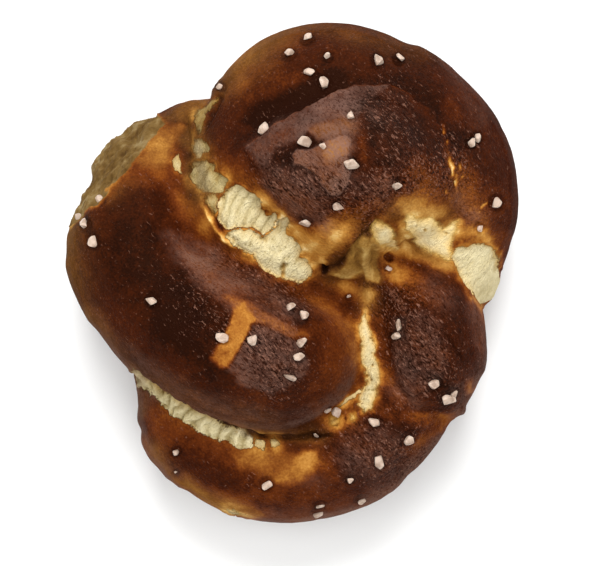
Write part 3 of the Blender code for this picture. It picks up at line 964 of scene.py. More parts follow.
# Place on the plan, length and width of each grain of salt, and its turn in degrees.
GRAINS: tuple[Grain, ...] = tuple(Grain(*row) for row in (
    (3.2, 47, 2.3, 1.5, 20), (-0.55, 43.8, 2.5, 1.9, 30), (7.3, 43.2, 1.6, 1.5, 60),
    (17.45, 42.4, 2.6, 2.3, 80), (21.55, 42.9, 1.9, 1.7, 120), (3.7, 40.1, 2.5, 1.6, -20),
    (6.35, 38, 2.4, 2.2, 70), (-14.2, 37.2, 1.8, 1.3, -15), (-5.3, 28.85, 3.1, 1.9, 65),
    (2.85, 26.2, 2.8, 2.4, -30), (6.2, 25.35, 1.6, 1.4, 10), (12.05, 31.4, 2.1, 1.7, 15),
    (11.7, 21.75, 3.7, 2.3, -12), (20.95, 17.8, 2.4, 2, 50), (9.35, 13.5, 2.5, 1.7, 5),
    (2.85, 10.25, 2.5, 1.7, -20), (35.95, 25.95, 1.9, 1.8, 30), (37.2, 26.95, 2, 1.6, 110),
    (40.85, 14.1, 2.5, 2.1, 70), (37.55, 9, 1.6, 1.5, 0), (-38.3, 14.7, 1.9, 1.7, 40),
    (-42.5, 11, 2, 1.8, 30), (-41.4, 9.8, 2.9, 1.8, -60), (-39.7, 6.35, 2.8, 2.1, -70),
    (-27.9, -5.55, 2.5, 2.2, -60), (-13.8, -12.9, 2.8, 2.1, -10), (-7.55, -13.4, 2.7, 2.4, 30),
    (-0.3, -7, 2.1, 1.9, 10), (2.2, -8.65, 2.5, 2, 60), (1.85, -13.9, 2.6, 1.8, 50),
    (1.45, -16.9, 2.5, 1.8, 10), (-0.3, -20.5, 2.8, 2, -20), (7.1, -27.3, 1.8, 1.1, 25),
    (8.8, -28, 2.4, 2.1, 70), (4.95, -32.5, 1.5, 1.2, 80), (-4.95, -42.25, 2.5, 2.2, 50),
    (-23.1, -35.8, 1.7, 1.3, 30), (-23, -39.8, 0.9, 0.7, 0), (11.45, -4.7, 1, 0.8, 30),
    (21.7, -10.4, 2.6, 1.6, 75), (20.95, -12.5, 2.5, 1.5, 20), (28.55, -22.1, 2.5, 2.2, 30),
    (31.1, -25.2, 3.3, 2.5, -10), (32.6, -24.1, 2, 1.8, 40), (16.55, -29.8, 2.7, 2, -30),
    (23.7, -33.2, 3, 2.2, 35), (17.45, -37.7, 3.1, 2, -80), (11.7, -41.4, 1.5, 1.3, 0),
    (13.95, -45.5, 2.1, 1.3, 25), (5.45, -48.1, 2.5, 1.5, 15), (5.7, -46.5, 2, 1, 10),
    (19.45, 0.9, 1.6, 1.1, -30),
))


@dataclass(frozen=True)
class TornSide:
    """The side that was torn from the next loaf: a plane that leans back.

    Attributes:
        point: a place on it, in millimetres.
        turn: of its outward direction from +Y towards -X.
        lean: back from upright.
        roughness: of the torn crumb, in millimetres.
        reach: how far behind the plane the torn crumb shows, in millimetres.
    """

    point: tuple[float, float, float] = (-31.0, 23.0, 26.0)
    turn: float = radians(48.5)
    lean: float = radians(18.0)
    roughness: float = 0.7
    reach: float = 6.0

    def depth(self, place: np.ndarray) -> np.ndarray:
        """How far each place lies behind the plane.

        Args:
            place: the places, in millimetres.

        Returns:
            Millimetres, less than 0 in front of the plane.
        """
        facing = Euler((self.lean - radians(90.0), 0.0, self.turn)).to_matrix()
        outward = np.array(facing @ Vector((0.0, 0.0, 1.0)))
        return -(place - np.array(self.point)) @ outward

    def share(self, ground: "Ground") -> np.ndarray:
        """Which points lie on the torn side.

        Args:
            ground: the skin's points.

        Returns:
            1 on the torn side and 0 elsewhere.
        """
        edge = trace(ground.ragged, SKIN_EDGE)
        beyond = smooth_step(-0.12, 0.12, edge.left * edge.distance)
        return beyond * smooth_step(self.reach, self.reach - 1.0, self.depth(ground.place))

    def relief(self, ground: "Ground") -> np.ndarray:
        """The roughness of the torn side.

        Args:
            ground: the skin's points.

        Returns:
            How far each point moves out, in millimetres.
        """
        place = ground.place
        lumps = lattice_noise(place, 5.0, 61) + 0.6 * lattice_noise(place, 2.4, 62)
        lumps += 0.4 * ridges(place, 1.2, 63)
        above = smooth_step(TRAY_MARGIN, 3.0, place[:, 2])
        return self.roughness * self.share(ground) * (lumps - 0.5) * above


# ------------------------------------------------------------------------------ the loaf


@dataclass
class Ground:
    """The skin's points before the marks move them.

    Attributes:
        place: where they are, in millimetres.
        normal: their outward directions.
        plan: the points as the eye sees them from above.
        ragged: the plan with its points shaken, so that what is drawn has ragged edges.
        frayed: the same, shaken harder, for the edges of the tears.
        upward: 1 where the skin faces up or out, and 0 where it faces down.
    """

    place: np.ndarray
    normal: np.ndarray

    def __post_init__(self) -> None:
        """Works out the plans."""
        eye = np.array(EYE)
        spread = (eye[2] - OUTLINE_LEVEL) / (eye[2] - self.place[:, 2])
        seen = eye[:2] + (self.place[:, :2] - eye[:2]) * spread[:, None]
        self.plan = seen - np.array(PLAN_ORIGIN)
        self.ragged = self.shaken(self.plan, (2.0, 0.3, 11), (1.0, 0.22, 21), (0.6, 0.1, 31))
        self.frayed = self.shaken(self.ragged, (0.9, 0.24, 33))
        self.upward = smooth_step(-0.25, 0.2, self.normal[:, 2])

    def shaken(self, plan: np.ndarray, *shakes: tuple[float, float, int]) -> np.ndarray:
        """Shakes the points of a plan.

        Args:
            plan: the plan.
            shakes: the cell and the size of each shake, in millimetres, and its seed.

        Returns:
            The shaken plan.
        """
        moved = plan.copy()
        for axis, (cell, size, seed) in product(range(2), shakes):
            moved[:, axis] += size * lattice_noise(self.place, cell, seed + axis)
        return moved

    def near(self, outline: Path, reach: float) -> np.ndarray:
        """Which points of the upper side lie by an outline.

        Args:
            outline: the outline on the plan.
            reach: how far from it a point may be, in millimetres.

        Returns:
            The points' indices.
        """
        edges = np.array(outline)
        low, high = edges.min(axis=0) - reach, edges.max(axis=0) + reach
        inside = np.all((self.ragged > low) & (self.ragged < high), axis=1)
        return np.flatnonzero(inside & (self.upward > 0.0))

    def laid(self, marks: tuple[Stroke, ...]) -> np.ndarray:
        """Lays soft strokes on the skin's upper side.

        Args:
            marks: the strokes.

        Returns:
            Their strengths at each point, added up.
        """
        wavering = self.ragged + 0.7 * np.column_stack(
            [lattice_noise(self.place, 4.0, seed) for seed in (81, 82)]
        )
        return sum(mark.laid(wavering) for mark in marks) * self.upward

    def covered(self, marks: tuple[Stroke, ...]) -> np.ndarray:
        """The sum of soft strokes, held between 0 and 1."""
        return np.clip(self.laid(marks), 0.0, 1.0)

    def drawn_out(self, stretch: float) -> np.ndarray:
        """The places squeezed along the rope, so that noise on them is drawn out along it."""
        along = np.array((np.cos(ROPE_TURN), np.sin(ROPE_TURN), 0.0))
        return self.place - np.outer(self.place @ along, along) * (1.0 - 1.0 / stretch)


@dataclass
class Loaf:
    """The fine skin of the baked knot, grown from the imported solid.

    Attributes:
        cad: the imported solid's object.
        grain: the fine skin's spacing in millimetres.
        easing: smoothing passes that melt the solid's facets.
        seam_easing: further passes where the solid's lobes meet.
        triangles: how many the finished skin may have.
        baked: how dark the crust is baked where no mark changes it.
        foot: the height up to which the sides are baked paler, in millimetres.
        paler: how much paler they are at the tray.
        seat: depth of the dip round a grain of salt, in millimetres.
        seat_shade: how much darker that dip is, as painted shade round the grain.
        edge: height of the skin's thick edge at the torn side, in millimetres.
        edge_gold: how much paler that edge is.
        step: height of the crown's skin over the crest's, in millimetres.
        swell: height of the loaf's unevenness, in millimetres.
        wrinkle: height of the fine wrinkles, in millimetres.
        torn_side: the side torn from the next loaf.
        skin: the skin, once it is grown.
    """

    cad: bpy.types.Object
    grain: float = 0.31
    easing: int = 56
    seam_easing: int = 200
    triangles: int = 192_000
    baked: float = 0.86
    foot: float = 9.0
    paler: float = 0.28
    seat: float = 0.25
    seat_shade: float = 0.1
    edge: float = 0.2
    edge_gold: float = 0.4
    step: float = 0.6
    swell: float = 0.3
    wrinkle: float = 0.075
    torn_side: TornSide = field(default_factory=TornSide)
    skin: bpy.types.Object | None = None

    def build(self, finish: bpy.types.Material) -> bpy.types.Object:
        """Grows, shapes and marks the skin.

        Args:
            finish: the crust's material.

        Returns:
            The finished piece.
        """
        self.skin = self.grow()
        self.ease_seams()
        ground = self.ground()
        opened = self.open_tears(ground)
        relief, shade_and_gilt = self.marks(ground)
        self.bake(ground, opened, shade_and_gilt)
        self.shape(ground, opened, relief)
        self.thin()
        mesh = self.skin.data
        mesh.materials.clear()
        mesh.materials.append(finish)
        mesh.polygons.foreach_set("use_smooth", np.ones(len(mesh.polygons), bool))
        return self.skin

    def grow(self) -> bpy.types.Object:
        """Remeshes a merged copy of the solid at the skin's spacing.

        Returns:
            The smooth skin, without its marks.
        """
        mesh = self.cad.data.copy()
        shell = bmesh.new()
        shell.from_mesh(mesh)
        bmesh.ops.remove_doubles(shell, verts=shell.verts, dist=MERGED)
        shell.to_mesh(mesh)
        shell.free()
        skin = add_object("knot_skin", mesh)
        remesh = skin.modifiers.new("grow", "REMESH")
        remesh.mode = "VOXEL"
        remesh.voxel_size = self.grain * MM
        ease(skin, self.easing)
        return skin

    def ease_seams(self) -> None:
        """Smooths the valleys where the solid's lobes meet."""
        weights = self.ground().covered(EASED)
        group = self.skin.vertex_groups.new(name="seams")
        for level in range(1, EASING_LEVELS + 1):
            chosen = np.flatnonzero(np.round(weights * EASING_LEVELS) == level)
            group.add(chosen.tolist(), level / EASING_LEVELS, "REPLACE")
        ease(self.skin, self.seam_easing, group.name)
        self.skin.vertex_groups.clear()

    def ground(self) -> Ground:
        """The skin's points as they lie now."""
        return Ground(self.places(), self.normals())

    def places(self) -> np.ndarray:
        """The skin's points in millimetres.

        Returns:
            One row for each point.
        """
        mesh = self.skin.data
        flat = np.empty(len(mesh.vertices) * 3)
        mesh.vertices.foreach_get("co", flat)
        return flat.reshape(-1, 3) / MM

    def normals(self) -> np.ndarray:
        """The skin's outward directions at its points.

        Returns:
            One row for each point.
        """
        mesh = self.skin.data
        flat = np.empty(len(mesh.vertices) * 3, np.float32)
        mesh.vertex_normals.foreach_get("vector", flat)
        return flat.reshape(-1, 3).astype(float)

    def move_out(self, by: np.ndarray) -> None:
        """Moves the skin's points along their normals, and keeps them above the tray.

        Args:
            by: how far each one moves, in millimetres.
        """
        moved = self.places() + self.normals() * by[:, None]
        moved[:, 2] = np.maximum(moved[:, 2], 0.0)
        mesh = self.skin.data
        mesh.vertices.foreach_set("co", (moved * MM).ravel())
        mesh.update()

    @staticmethod
    def open_tears(ground: Ground) -> list[tuple[np.ndarray, OpenTear]]:
        """Lays the tears on the skin.

        Args:
            ground: the skin's points.

        Returns:
            For each tear, the points that it reaches and how it lies on them.
        """
        opened = []
        for tear in TEARS.values():
            near = ground.near(tear.outline, TEAR_REACH)
            depth = depth_inside(ground.frayed[near], tear.outline)
            opened.append((near, OpenTear(tear, ground.plan[near], ground.place[near], depth)))
        return opened

    def marks(self, ground: Ground) -> tuple[np.ndarray, np.ndarray]:
        """Lays the grooves, pits, flaps, edges and seats of the salt on the skin.

        Args:
            ground: the skin's points.

        Returns:
            How far each point moves out, in millimetres, and how much darker it is: painted shade
            in grooves, pits, beside flaps and round the salt, and paler gold where below 0.
        """
        plan = ground.ragged
        relief, shade_and_gilt = np.zeros(len(plan)), np.zeros(len(plan))
        # Grooves darker than the crust paint the shade in them; paler ones are golden lines.
        for groove in GROOVES:
            laid = groove.laid(plan)
            relief -= groove.depth * laid
            shade_and_gilt += groove.shade_and_gilt * laid
        # Pits sink and are darkened with painted shade.
        for middle, radius, depth in PITS:
            distance = np.hypot(*(plan - np.array(middle)).T)
            relief -= depth * smooth_step(radius, radius * 0.3, distance)
            shade_and_gilt += min(0.5, 0.4 * depth) * smooth_step(radius * 1.3, radius * 0.5, distance)
        for flap in FLAPS:
            inside = depth_inside(plan, flap.outline)
            relief += flap.relief(inside)
            shade_and_gilt += flap.shadow(inside)
        relief += self.crown_edge_relief(plan)
        relief += self.edge * bell(trace(plan, SKIN_EDGE).distance, 0.4)
        # The salt sits in a dip, with painted shade round each grain.
        for grain in GRAINS:
            seat = grain.seat(ground.plan)
            relief -= self.seat * seat
            shade_and_gilt += self.seat_shade * seat
        return relief, shade_and_gilt

    def shape(
        self, ground: Ground, opened: list[tuple[np.ndarray, OpenTear]], relief: np.ndarray
    ) -> None:
        """Moves the skin: first the marks, then the unevenness and the wrinkles.

        Args:
            ground: the skin's points.
            opened: the tears on them.
            relief: how far the other marks move them, in millimetres.
        """
        moved = np.zeros(len(ground.place))
        for near, tear in opened:
            moved[near] += tear.relief() * ground.upward[near]
        height = ground.place[:, 2]
        sides = sum(bulge.laid(ground.plan) for bulge in BULGES)
        sides *= smooth_step(TRAY_MARGIN, 6.0, height)
        self.move_out(moved + relief * ground.upward + sides + self.torn_side.relief(ground))

        swells = self.swell * fractal(ground.place, 11.0, 3, 2)
        swells += 0.07 * lattice_noise(ground.place, 3.2, 73)
        drawn = ground.drawn_out(2.4)
        wrinkled = ridges(drawn, 1.3, 71) + 0.8 * ridges(drawn, 0.75, 72)
        leather = 0.2 + 0.8 * ground.covered(WRINKLES)
        above = smooth_step(TRAY_MARGIN, 5.0, height)
        self.move_out(above * (swells + self.wrinkle * leather * wrinkled))

    def crown_edge_relief(self, plan: np.ndarray) -> np.ndarray:
        """The thin step where the crown's skin lies on the crest's.

        Args:
            plan: the points on the plan.

        Returns:
            How far each point moves out, in millimetres.
        """
        edge = trace(plan, CROWN_EDGE)
        inward = -edge.left * edge.distance
        height = self.step * smooth_step(edge.length, edge.length * 0.5, edge.along)
        height *= smooth_step(0.0, 4.0, edge.along)
        lip = smooth_step(-0.3, 0.35, inward) * fade(inward, 4.0)
        return height * lip * smooth_step(12.0, 6.0, edge.distance)

    def bake(
        self, ground: Ground, opened: list[tuple[np.ndarray, OpenTear]], shade_and_gilt: np.ndarray
    ) -> None:
        """Writes the fields on the skin's points.

        Args:
            ground: the skin's points.
            opened: the tears on them.
            shade_and_gilt: how much darker the other marks make them, as painted shade; below 0,
                paler gold.
        """
        count = len(ground.place)
        crumb, tone = np.full(count, -CRUMB_DEPTH), np.ones(count)
        amber, gilding = np.zeros(count), np.zeros(count)
        for near, tear in opened:
            down = 8.0 * (ground.upward[near] - 0.5) + lattice_noise(tear.place, 2.6, 54)
            below = np.maximum(OUTLINE_LEVEL - tear.place[:, 2], 0.0)
            narrowed = tear.depth - below * (0.4 + 0.25 * lattice_noise(tear.place, 5.0, 55))
            held = np.minimum(narrowed, np.maximum(down, -CRUMB_DEPTH))
            deeper = held > crumb[near]
            crumb[near[deeper]] = held[deeper]
            tone[near[deeper]] = tear.tone()[deeper]
            amber[near[deeper]] = tear.amber()[deeper]
            gilding[near] = np.maximum(gilding[near], tear.gilding() * ground.upward[near])

        baked = self.browning(ground)
        olive, bloom_and_sheen = ground.covered(OLIVE_AND_SHADE_STROKES), ground.covered(BLOOM_AND_SHEEN_STROKES)
        # Painted sheen: the near side's steep rims get haze as colour, standing in for the light
        # reflected there.
        painted_rim_sheen = smooth_step(0.75, 0.25, ground.normal[:, 2]) * ground.upward
        painted_rim_sheen *= smooth_step(0.0, -25.0, ground.ragged[:, 1])
        bloom_and_sheen = np.maximum(bloom_and_sheen, painted_rim_sheen)
        drawn = ground.drawn_out(2.0)
        mottle = 0.15 * fractal(drawn, 3.0, 91)
        hazy = 1.0 + 0.5 * fractal(drawn, 2.2, 97)
        for patch in PATCHES.values():
            near = ground.near(patch.outline, PATCH_REACH)
            share = patch.share(ground.ragged[near], ground.place[near])
            share *= ground.upward[near]
            baked[near] += (patch.browning + mottle[near] - baked[near]) * share
            olive[near] += (patch.olive - olive[near]) * share
            bloom_and_sheen[near] += (patch.bloom_and_sheen * hazy[near] - bloom_and_sheen[near]) * share

        for name, values in (
            (Field.CRUMB, np.clip(crumb, -CRUMB_DEPTH, CRUMB_DEPTH)),
            (Field.TONE, np.clip(tone - np.maximum(shade_and_gilt, 0.0), 0.0, LIGHTEST)),
            (Field.AMBER, np.clip(amber + 1.5 * shade_and_gilt, 0.0, 1.0)),
            (Field.BROWNING, baked - gilding + shade_and_gilt * ground.upward),
            (Field.OLIVE_AND_SHADE, olive),
            (Field.BLOOM, bloom_and_sheen),
            (Field.TORN, self.torn_side.share(ground)),
            (Field.LEATHER, ground.covered(WRINKLES)),
        ):
            stored = self.skin.data.attributes.new(name.value, "FLOAT", "POINT")
            stored.data.foreach_set("value", values.astype(np.float32))

    def browning(self, ground: Ground) -> np.ndarray:
        """How dark the crust is baked.

        Args:
            ground: the skin's points.

        Returns:
            From 0, cream, to 1, the darkest brown.
        """
        baked = self.baked + 0.08 * fractal(ground.place, 9.0, 83) + ground.laid(BAKING)
        # Painted shadow: the crest is baked darker just outside the crown's edge, where the crown's
        # step shades it.
        edge = trace(ground.ragged, CROWN_EDGE)
        outside = edge.left * edge.distance
        baked += 0.1 * bell(np.maximum(outside, 0.0), 3.0) * (outside > 0)
        skin = trace(ground.ragged, SKIN_EDGE)
        baked -= self.edge_gold * bell(skin.distance, 0.45) * ground.upward
        return baked - self.paler * smooth_step(self.foot, 1.0, ground.place[:, 2])

    def thin(self) -> None:
        """Merges the skin's triangles where it is smooth, down to the number allowed."""
        mesh = self.skin.data
        mesh.calc_loop_triangles()
        thinned = self.skin.modifiers.new("thin", "DECIMATE")
        thinned.ratio = self.triangles / len(mesh.loop_triangles)
        bake_modifiers(self.skin)


def add_object(name: str, data: bpy.types.ID) -> bpy.types.Object:
    """Adds an object to the scene.

    Args:
        name: of the object.
        data: its mesh, light or camera.

    Returns:
        The object.
    """
    made = bpy.data.objects.new(name, data)
    bpy.context.scene.collection.objects.link(made)
    return made


def bake_modifiers(thing: bpy.types.Object) -> None:
    """Turns an object's modifiers into its mesh.

    Args:
        thing: the object.
    """
    graph = bpy.context.evaluated_depsgraph_get()
    made = bpy.data.meshes.new_from_object(thing.evaluated_get(graph))
    thing.modifiers.clear()
    old = thing.data
    thing.data = made
    bpy.data.meshes.remove(old)


def ease(thing: bpy.types.Object, passes: int, group: str = "") -> None:
    """Smooths an object's mesh.

    Args:
        thing: the object.
        passes: how many times its points move half-way to their neighbours' middle.
        group: the vertex group that holds how much each point takes part.
    """
    easing = thing.modifiers.new("ease", "SMOOTH")
    easing.factor = 0.5
    easing.iterations = passes
    easing.vertex_group = group
    bake_modifiers(thing)


# -------------------------------------------------------------------------------- finishes

Socket = bpy.types.NodeSocket
Colour = tuple[float, float, float, float]
Stops = tuple[tuple[float, Colour], ...]
Given = Socket | float | tuple | str


def shade(red: int, green: int, blue: int) -> Colour:
    """Turns a colour as it looks on a screen into what the shader wants.

    Args:
        red: from 0 to 255.
        green: from 0 to 255.
        blue: from 0 to 255.

    Returns:
        The linear colour.
    """
    linear = []
    for part in (red / 255.0, green / 255.0, blue / 255.0):
        linear.append(part / 12.92 if part <= 0.04045 else ((part + 0.055) / 1.055) ** 2.4)
    return (*linear, 1.0)


def stops(*rows: tuple[float, int, int, int]) -> Stops:
    """A row of colours, each with its place from 0 to 1."""
    return tuple((place, shade(*colour)) for place, *colour in rows)


class NodeWork:
    """A node tree, written one node at a time."""

    def __init__(self, tree: bpy.types.NodeTree) -> None:
        """Takes up a node tree."""
        self.tree = tree

    def give(self, target: Socket, value: Given) -> None:
        """Links or sets an input.

        Args:
            target: the input.
            value: what it is linked to or set to.
        """
        if isinstance(value, bpy.types.NodeSocket):
            self.tree.links.new(value, target)
        else:
            target.default_value = value

    def add(
        self, kind: str, inputs: dict[int | str, Given] | None = None, **settings: str
    ) -> bpy.types.Node:
        """Adds a node.

        Args:
            kind: the node's type.
            inputs: what its inputs are linked to or set to.
            settings: the node's own settings.

        Returns:
            The node.
        """
        node = self.tree.nodes.new(kind)
        for name, value in settings.items():
            setattr(node, name, value)
        for key, value in (inputs or {}).items():
            self.give(node.inputs[key], value)
        return node

    def math(self, operation: str, first: Given, second: Given = 0.0) -> Socket:
        """The result of a sum on two values."""
        return self.add("ShaderNodeMath", {0: first, 1: second}, operation=operation).outputs[0]

    def total(self, *values: Given) -> Socket:
        """The values added up."""
        return reduce(lambda first, second: self.math("ADD", first, second), values)

    def times(self, *values: Given) -> Socket:
        """The values multiplied."""
        return reduce(lambda first, second: self.math("MULTIPLY", first, second), values)

    def vector(self, operation: str, inputs: dict[int | str, Given]) -> Socket:
        """The result of a sum on vectors."""
        return self.add("ShaderNodeVectorMath", inputs, operation=operation).outputs["Vector"]


class Recipe(NodeWork):
    """A material's node tree."""

    def __init__(self, name: str) -> None:
        """Starts an empty material with a Principled shader.

        Args:
            name: the material's name.
        """
        self.material = bpy.data.materials.new(name)
        self.material.use_nodes = True
        super().__init__(self.material.node_tree)
        self.shader = self.tree.nodes["Principled BSDF"]
        where = self.add("ShaderNodeTexCoord").outputs["Object"]
        scaled = self.add("ShaderNodeMapping", {"Vector": where, "Scale": (1.0 / MM,) * 3})
        self.place = scaled.outputs["Vector"]

    def shader_input(self, name: str, value: Given) -> None:
        """Links or sets an input of the Principled shader."""
        self.give(self.shader.inputs[name], value)

    def attribute(self, name: Field) -> Socket:
        """One of the skin's fields."""
        return self.add("ShaderNodeAttribute", attribute_name=name.value).outputs["Fac"]

    def height(self) -> Socket:
        """The height above the tray in millimetres."""
        return self.add("ShaderNodeSeparateXYZ", {"Vector": self.place}).outputs["Z"]

    def scaled(self, value: Socket, low: float, high: float) -> Socket:
        """A value from 0 to 1 stretched to run from low to high."""
        return self.stepped(value, 0.0, 1.0, low, high, "LINEAR")

    def stepped(
        self,
        value: Socket,
        start: float,
        end: float,
        low: float = 0.0,
        high: float = 1.0,
        kind: str = "SMOOTHSTEP",
    ) -> Socket:
        """A value mapped from one range to another.

        Args:
            value: what is mapped.
            start: where the mapping begins.
            end: where it ends.
            low: the result at start.
            high: the result at end.
            kind: the Map Range node's way between them.

        Returns:
            The mapped value.
        """
        ranges = {"From Min": start, "From Max": end, "To Min": low, "To Max": high}
        node = self.add("ShaderNodeMapRange", {"Value": value, **ranges}, interpolation_type=kind)
        return node.outputs["Result"]

    def noise(
        self,
        size: float,
        detail: float,
        stretch: float = 1.0,
        turn: float = ROPE_TURN,
        bend: float = 0.0,
    ) -> Socket:
        """Noise from 0 to 1, which may be drawn out in one direction.

        Args:
            size: of its largest detail across that direction, in millimetres.
            detail: how many finer sizes it has.
            stretch: how many times longer its details are than wide.
            turn: of that direction on the plan, anticlockwise from +X.
            bend: how much it is bent by itself.

        Returns:
            The noise's value.
        """
        where = self.place
        if stretch != 1.0:
            drawn = {"Vector": where, "Rotation": (0.0, 0.0, turn), "Scale": (stretch, 1.0, 1.0)}
            where = self.add("ShaderNodeMapping", drawn, vector_type="TEXTURE").outputs["Vector"]
        form = {"Vector": where, "Scale": 1.0 / size, "Detail": detail, "Distortion": bend}
        return self.add("ShaderNodeTexNoise", form).outputs["Fac"]

    def mixed(self, share: Given, first: Given, second: Given) -> Socket:
        """A colour between two colours."""
        colours = {0: share, 6: first, 7: second}
        return self.add("ShaderNodeMix", colours, data_type="RGBA").outputs[2]

    def blended(self, share: Given, first: Given, second: Given) -> Socket:
        """A value between two values."""
        values = {0: share, 2: first, 3: second}
        return self.add("ShaderNodeMix", values, data_type="FLOAT").outputs[0]

    def ramp(self, value: Socket, colours: Stops) -> Socket:
        """A colour picked by a value from a row of colours.

        Args:
            value: picks the colour, from 0 to 1.
            colours: the row of colours.

        Returns:
            The colour.
        """
        node = self.add("ShaderNodeValToRGB", {"Fac": value})
        row = node.color_ramp.elements
        while len(row) < len(colours):
            row.new(1.0)
        for element, (position, colour) in zip(row, colours):
            element.position = position
            element.color = colour
        return node.outputs["Color"]

    def bump(self, height: Socket, depth: float, below: Socket | None = None) -> Socket:
        """A bumped normal.

        Args:
            height: the relief, from 0 to 1.
            depth: how deep it is, in millimetres.
            below: the normal of the coarser relief.

        Returns:
            The bumped normal.
        """
        relief = {"Height": height, "Strength": 1.0, "Distance": depth * MM}
        if below is not None:
            relief["Normal"] = below
        return self.add("ShaderNodeBump", relief).outputs["Normal"]


@dataclass(frozen=True)
class CrustFinish:
    """The baked skin, with the crumb of the tears and the torn side.

    Attributes:
        baking: the crust's colours from cream to the darkest brown.
        olives: the same where the crust is olive.
        bloom_and_sheen: the colours of the greyish haze, partly painted sheen, from the one on
            light crust to dark crust.
        crumb: the crumb's colours, from the painted shade deep in a crease to the lightest.
        grey_crumb: the same, greyer, as painted shade in the shaded seams.
        amber: the same where the crumb is golden and glassy.
        torn: the torn side's colours.
        base: the underside's dark and light colours.
        painted_glint: the colour of the tiny glints painted on the wrinkles.
        gap: the painted shade between the finest wrinkles.
        tint: of the crust's shine.
    """

    baking: Stops = stops(
        (0.0, 236, 210, 156), (0.14, 214, 170, 98), (0.28, 186, 130, 58), (0.42, 154, 98, 37),
        (0.56, 119, 63, 20), (0.7, 89, 40, 12), (0.84, 58, 22, 6), (1.0, 30, 10, 4),
    )
    olives: Stops = stops(
        (0.0, 232, 218, 170), (0.2, 196, 168, 104), (0.45, 144, 112, 54), (0.65, 110, 78, 34),
        (0.85, 78, 50, 22), (1.0, 50, 28, 12),
    )
    bloom_and_sheen: Stops = stops((0.4, 132, 94, 75), (0.62, 112, 79, 64), (0.9, 98, 71, 61))
    crumb: Stops = stops(
        (0.0, 74, 44, 16), (0.16, 122, 88, 38), (0.36, 150, 130, 82), (0.52, 174, 157, 112),
        (0.66, 194, 178, 134), (0.8, 212, 198, 156), (1.0, 240, 226, 184),
    )
    grey_crumb: Stops = stops(
        (0.0, 52, 38, 18), (0.24, 94, 76, 46), (0.48, 136, 119, 86), (0.68, 176, 158, 124),
        (0.8, 202, 184, 150), (1.0, 232, 214, 180),
    )
    amber: Stops = stops(
        (0.0, 66, 34, 8), (0.24, 122, 76, 22), (0.52, 176, 126, 48), (0.8, 214, 170, 88),
        (1.0, 238, 202, 126),
    )
    torn: Stops = stops(
        (0.15, 74, 52, 26), (0.4, 97, 73, 38), (0.62, 116, 92, 54), (0.9, 148, 130, 94)
    )
    base: tuple[Colour, Colour] = (shade(96, 54, 22), shade(150, 100, 48))
    painted_glint: Colour = shade(142, 100, 82)
    gap: Colour = shade(28, 10, 4)
    tint: Colour = shade(255, 188, 148)

    def material(self) -> bpy.types.Material:
        """Builds the material.

        Returns:
            The material.
        """
        made = Recipe("baked crust")
        broad, middling = made.noise(6.0, 3.0), made.noise(1.8, 3.0)
        fine, micro = made.noise(0.45, 3.0), made.noise(0.16, 2.0)
        wrinkled = made.noise(0.42, 3.0, 2.2, WRINKLE_TURN, bend=0.7)
        fibre = made.noise(0.32, 2.0, 3.5, ROPE_TURN + radians(95.0))
        leather, bloom_and_sheen = made.attribute(Field.LEATHER), made.attribute(Field.BLOOM)
        amber, shaded = made.attribute(Field.AMBER), made.attribute(Field.OLIVE_AND_SHADE)
        is_torn = made.attribute(Field.TORN)

        # The crumb's edge is ragged, and soft where the crumb is golden or shaded.
        ragged = made.total(
            made.attribute(Field.CRUMB),
            made.scaled(fine, -0.35, 0.35),
            made.scaled(micro, -0.12, 0.12),
        )
        # Where the olive field lies on crumb it greys it, as painted shade.
        greyed = made.stepped(shaded, 0.35, 0.8)
        golden = made.stepped(amber, 0.6, 1.0, 1.0, 6.0, "LINEAR")
        softness = made.total(golden, made.times(greyed, 3.0))
        in_crumb = made.stepped(made.math("DIVIDE", ragged, softness), -0.1, 0.1)

        # The crust: its bake, its haze with painted sheen, painted glints on the wrinkles and
        # painted shade between them.
        baked = made.total(
            made.attribute(Field.BROWNING),
            made.scaled(broad, -0.1, 0.1),
            made.scaled(middling, -0.1, 0.1),
            made.scaled(fine, -0.12, 0.12),
        )
        olive = made.times(shaded, made.scaled(middling, 0.6, 1.1))
        crust = made.mixed(olive, made.ramp(baked, self.baking), made.ramp(baked, self.olives))
        cloud = made.times(
            made.stepped(made.noise(2.6, 5.0, 1.8), 0.3, 0.6, 0.5, 1.0),
            made.stepped(wrinkled, 0.36, 0.5, 0.35, 1.0),
        )
        # The haze, partly painted sheen, is mixed into the crust's colour.
        crust = made.mixed(made.times(bloom_and_sheen, cloud), crust, made.ramp(baked, self.bloom_and_sheen))
        dark = made.stepped(baked, 0.5, 0.72)
        rough = made.total(wrinkled, made.scaled(leather, 0.0, 0.09))
        painted_glints = made.stepped(rough, 0.64, 0.74, 0.0, 0.65)
        painted_glints = made.times(painted_glints, dark, made.scaled(leather, 0.6, 1.0))
        crust = made.mixed(painted_glints, crust, self.painted_glint)
        # Painted shade in the hollows between the finest wrinkles.
        gaps = made.times(made.stepped(wrinkled, 0.47, 0.36, 0.0, 0.95), leather, dark)
        crust = made.mixed(gaps, crust, self.gap)

        # The crumb: plain, greyed as painted shade in the shaded seams, and golden along its edges.
        lit = made.total(
            made.attribute(Field.TONE),
            made.scaled(middling, -0.1, 0.08),
            made.scaled(fine, -0.12, 0.1),
            made.scaled(fibre, -0.14, 0.12),
        )
        lit = made.times(lit, 1.0 / LIGHTEST)
        crumb = made.mixed(greyed, made.ramp(lit, self.crumb), made.ramp(lit, self.grey_crumb))
        crumb = made.mixed(amber, crumb, made.ramp(lit, self.amber))
        colour = made.mixed(in_crumb, crust, crumb)

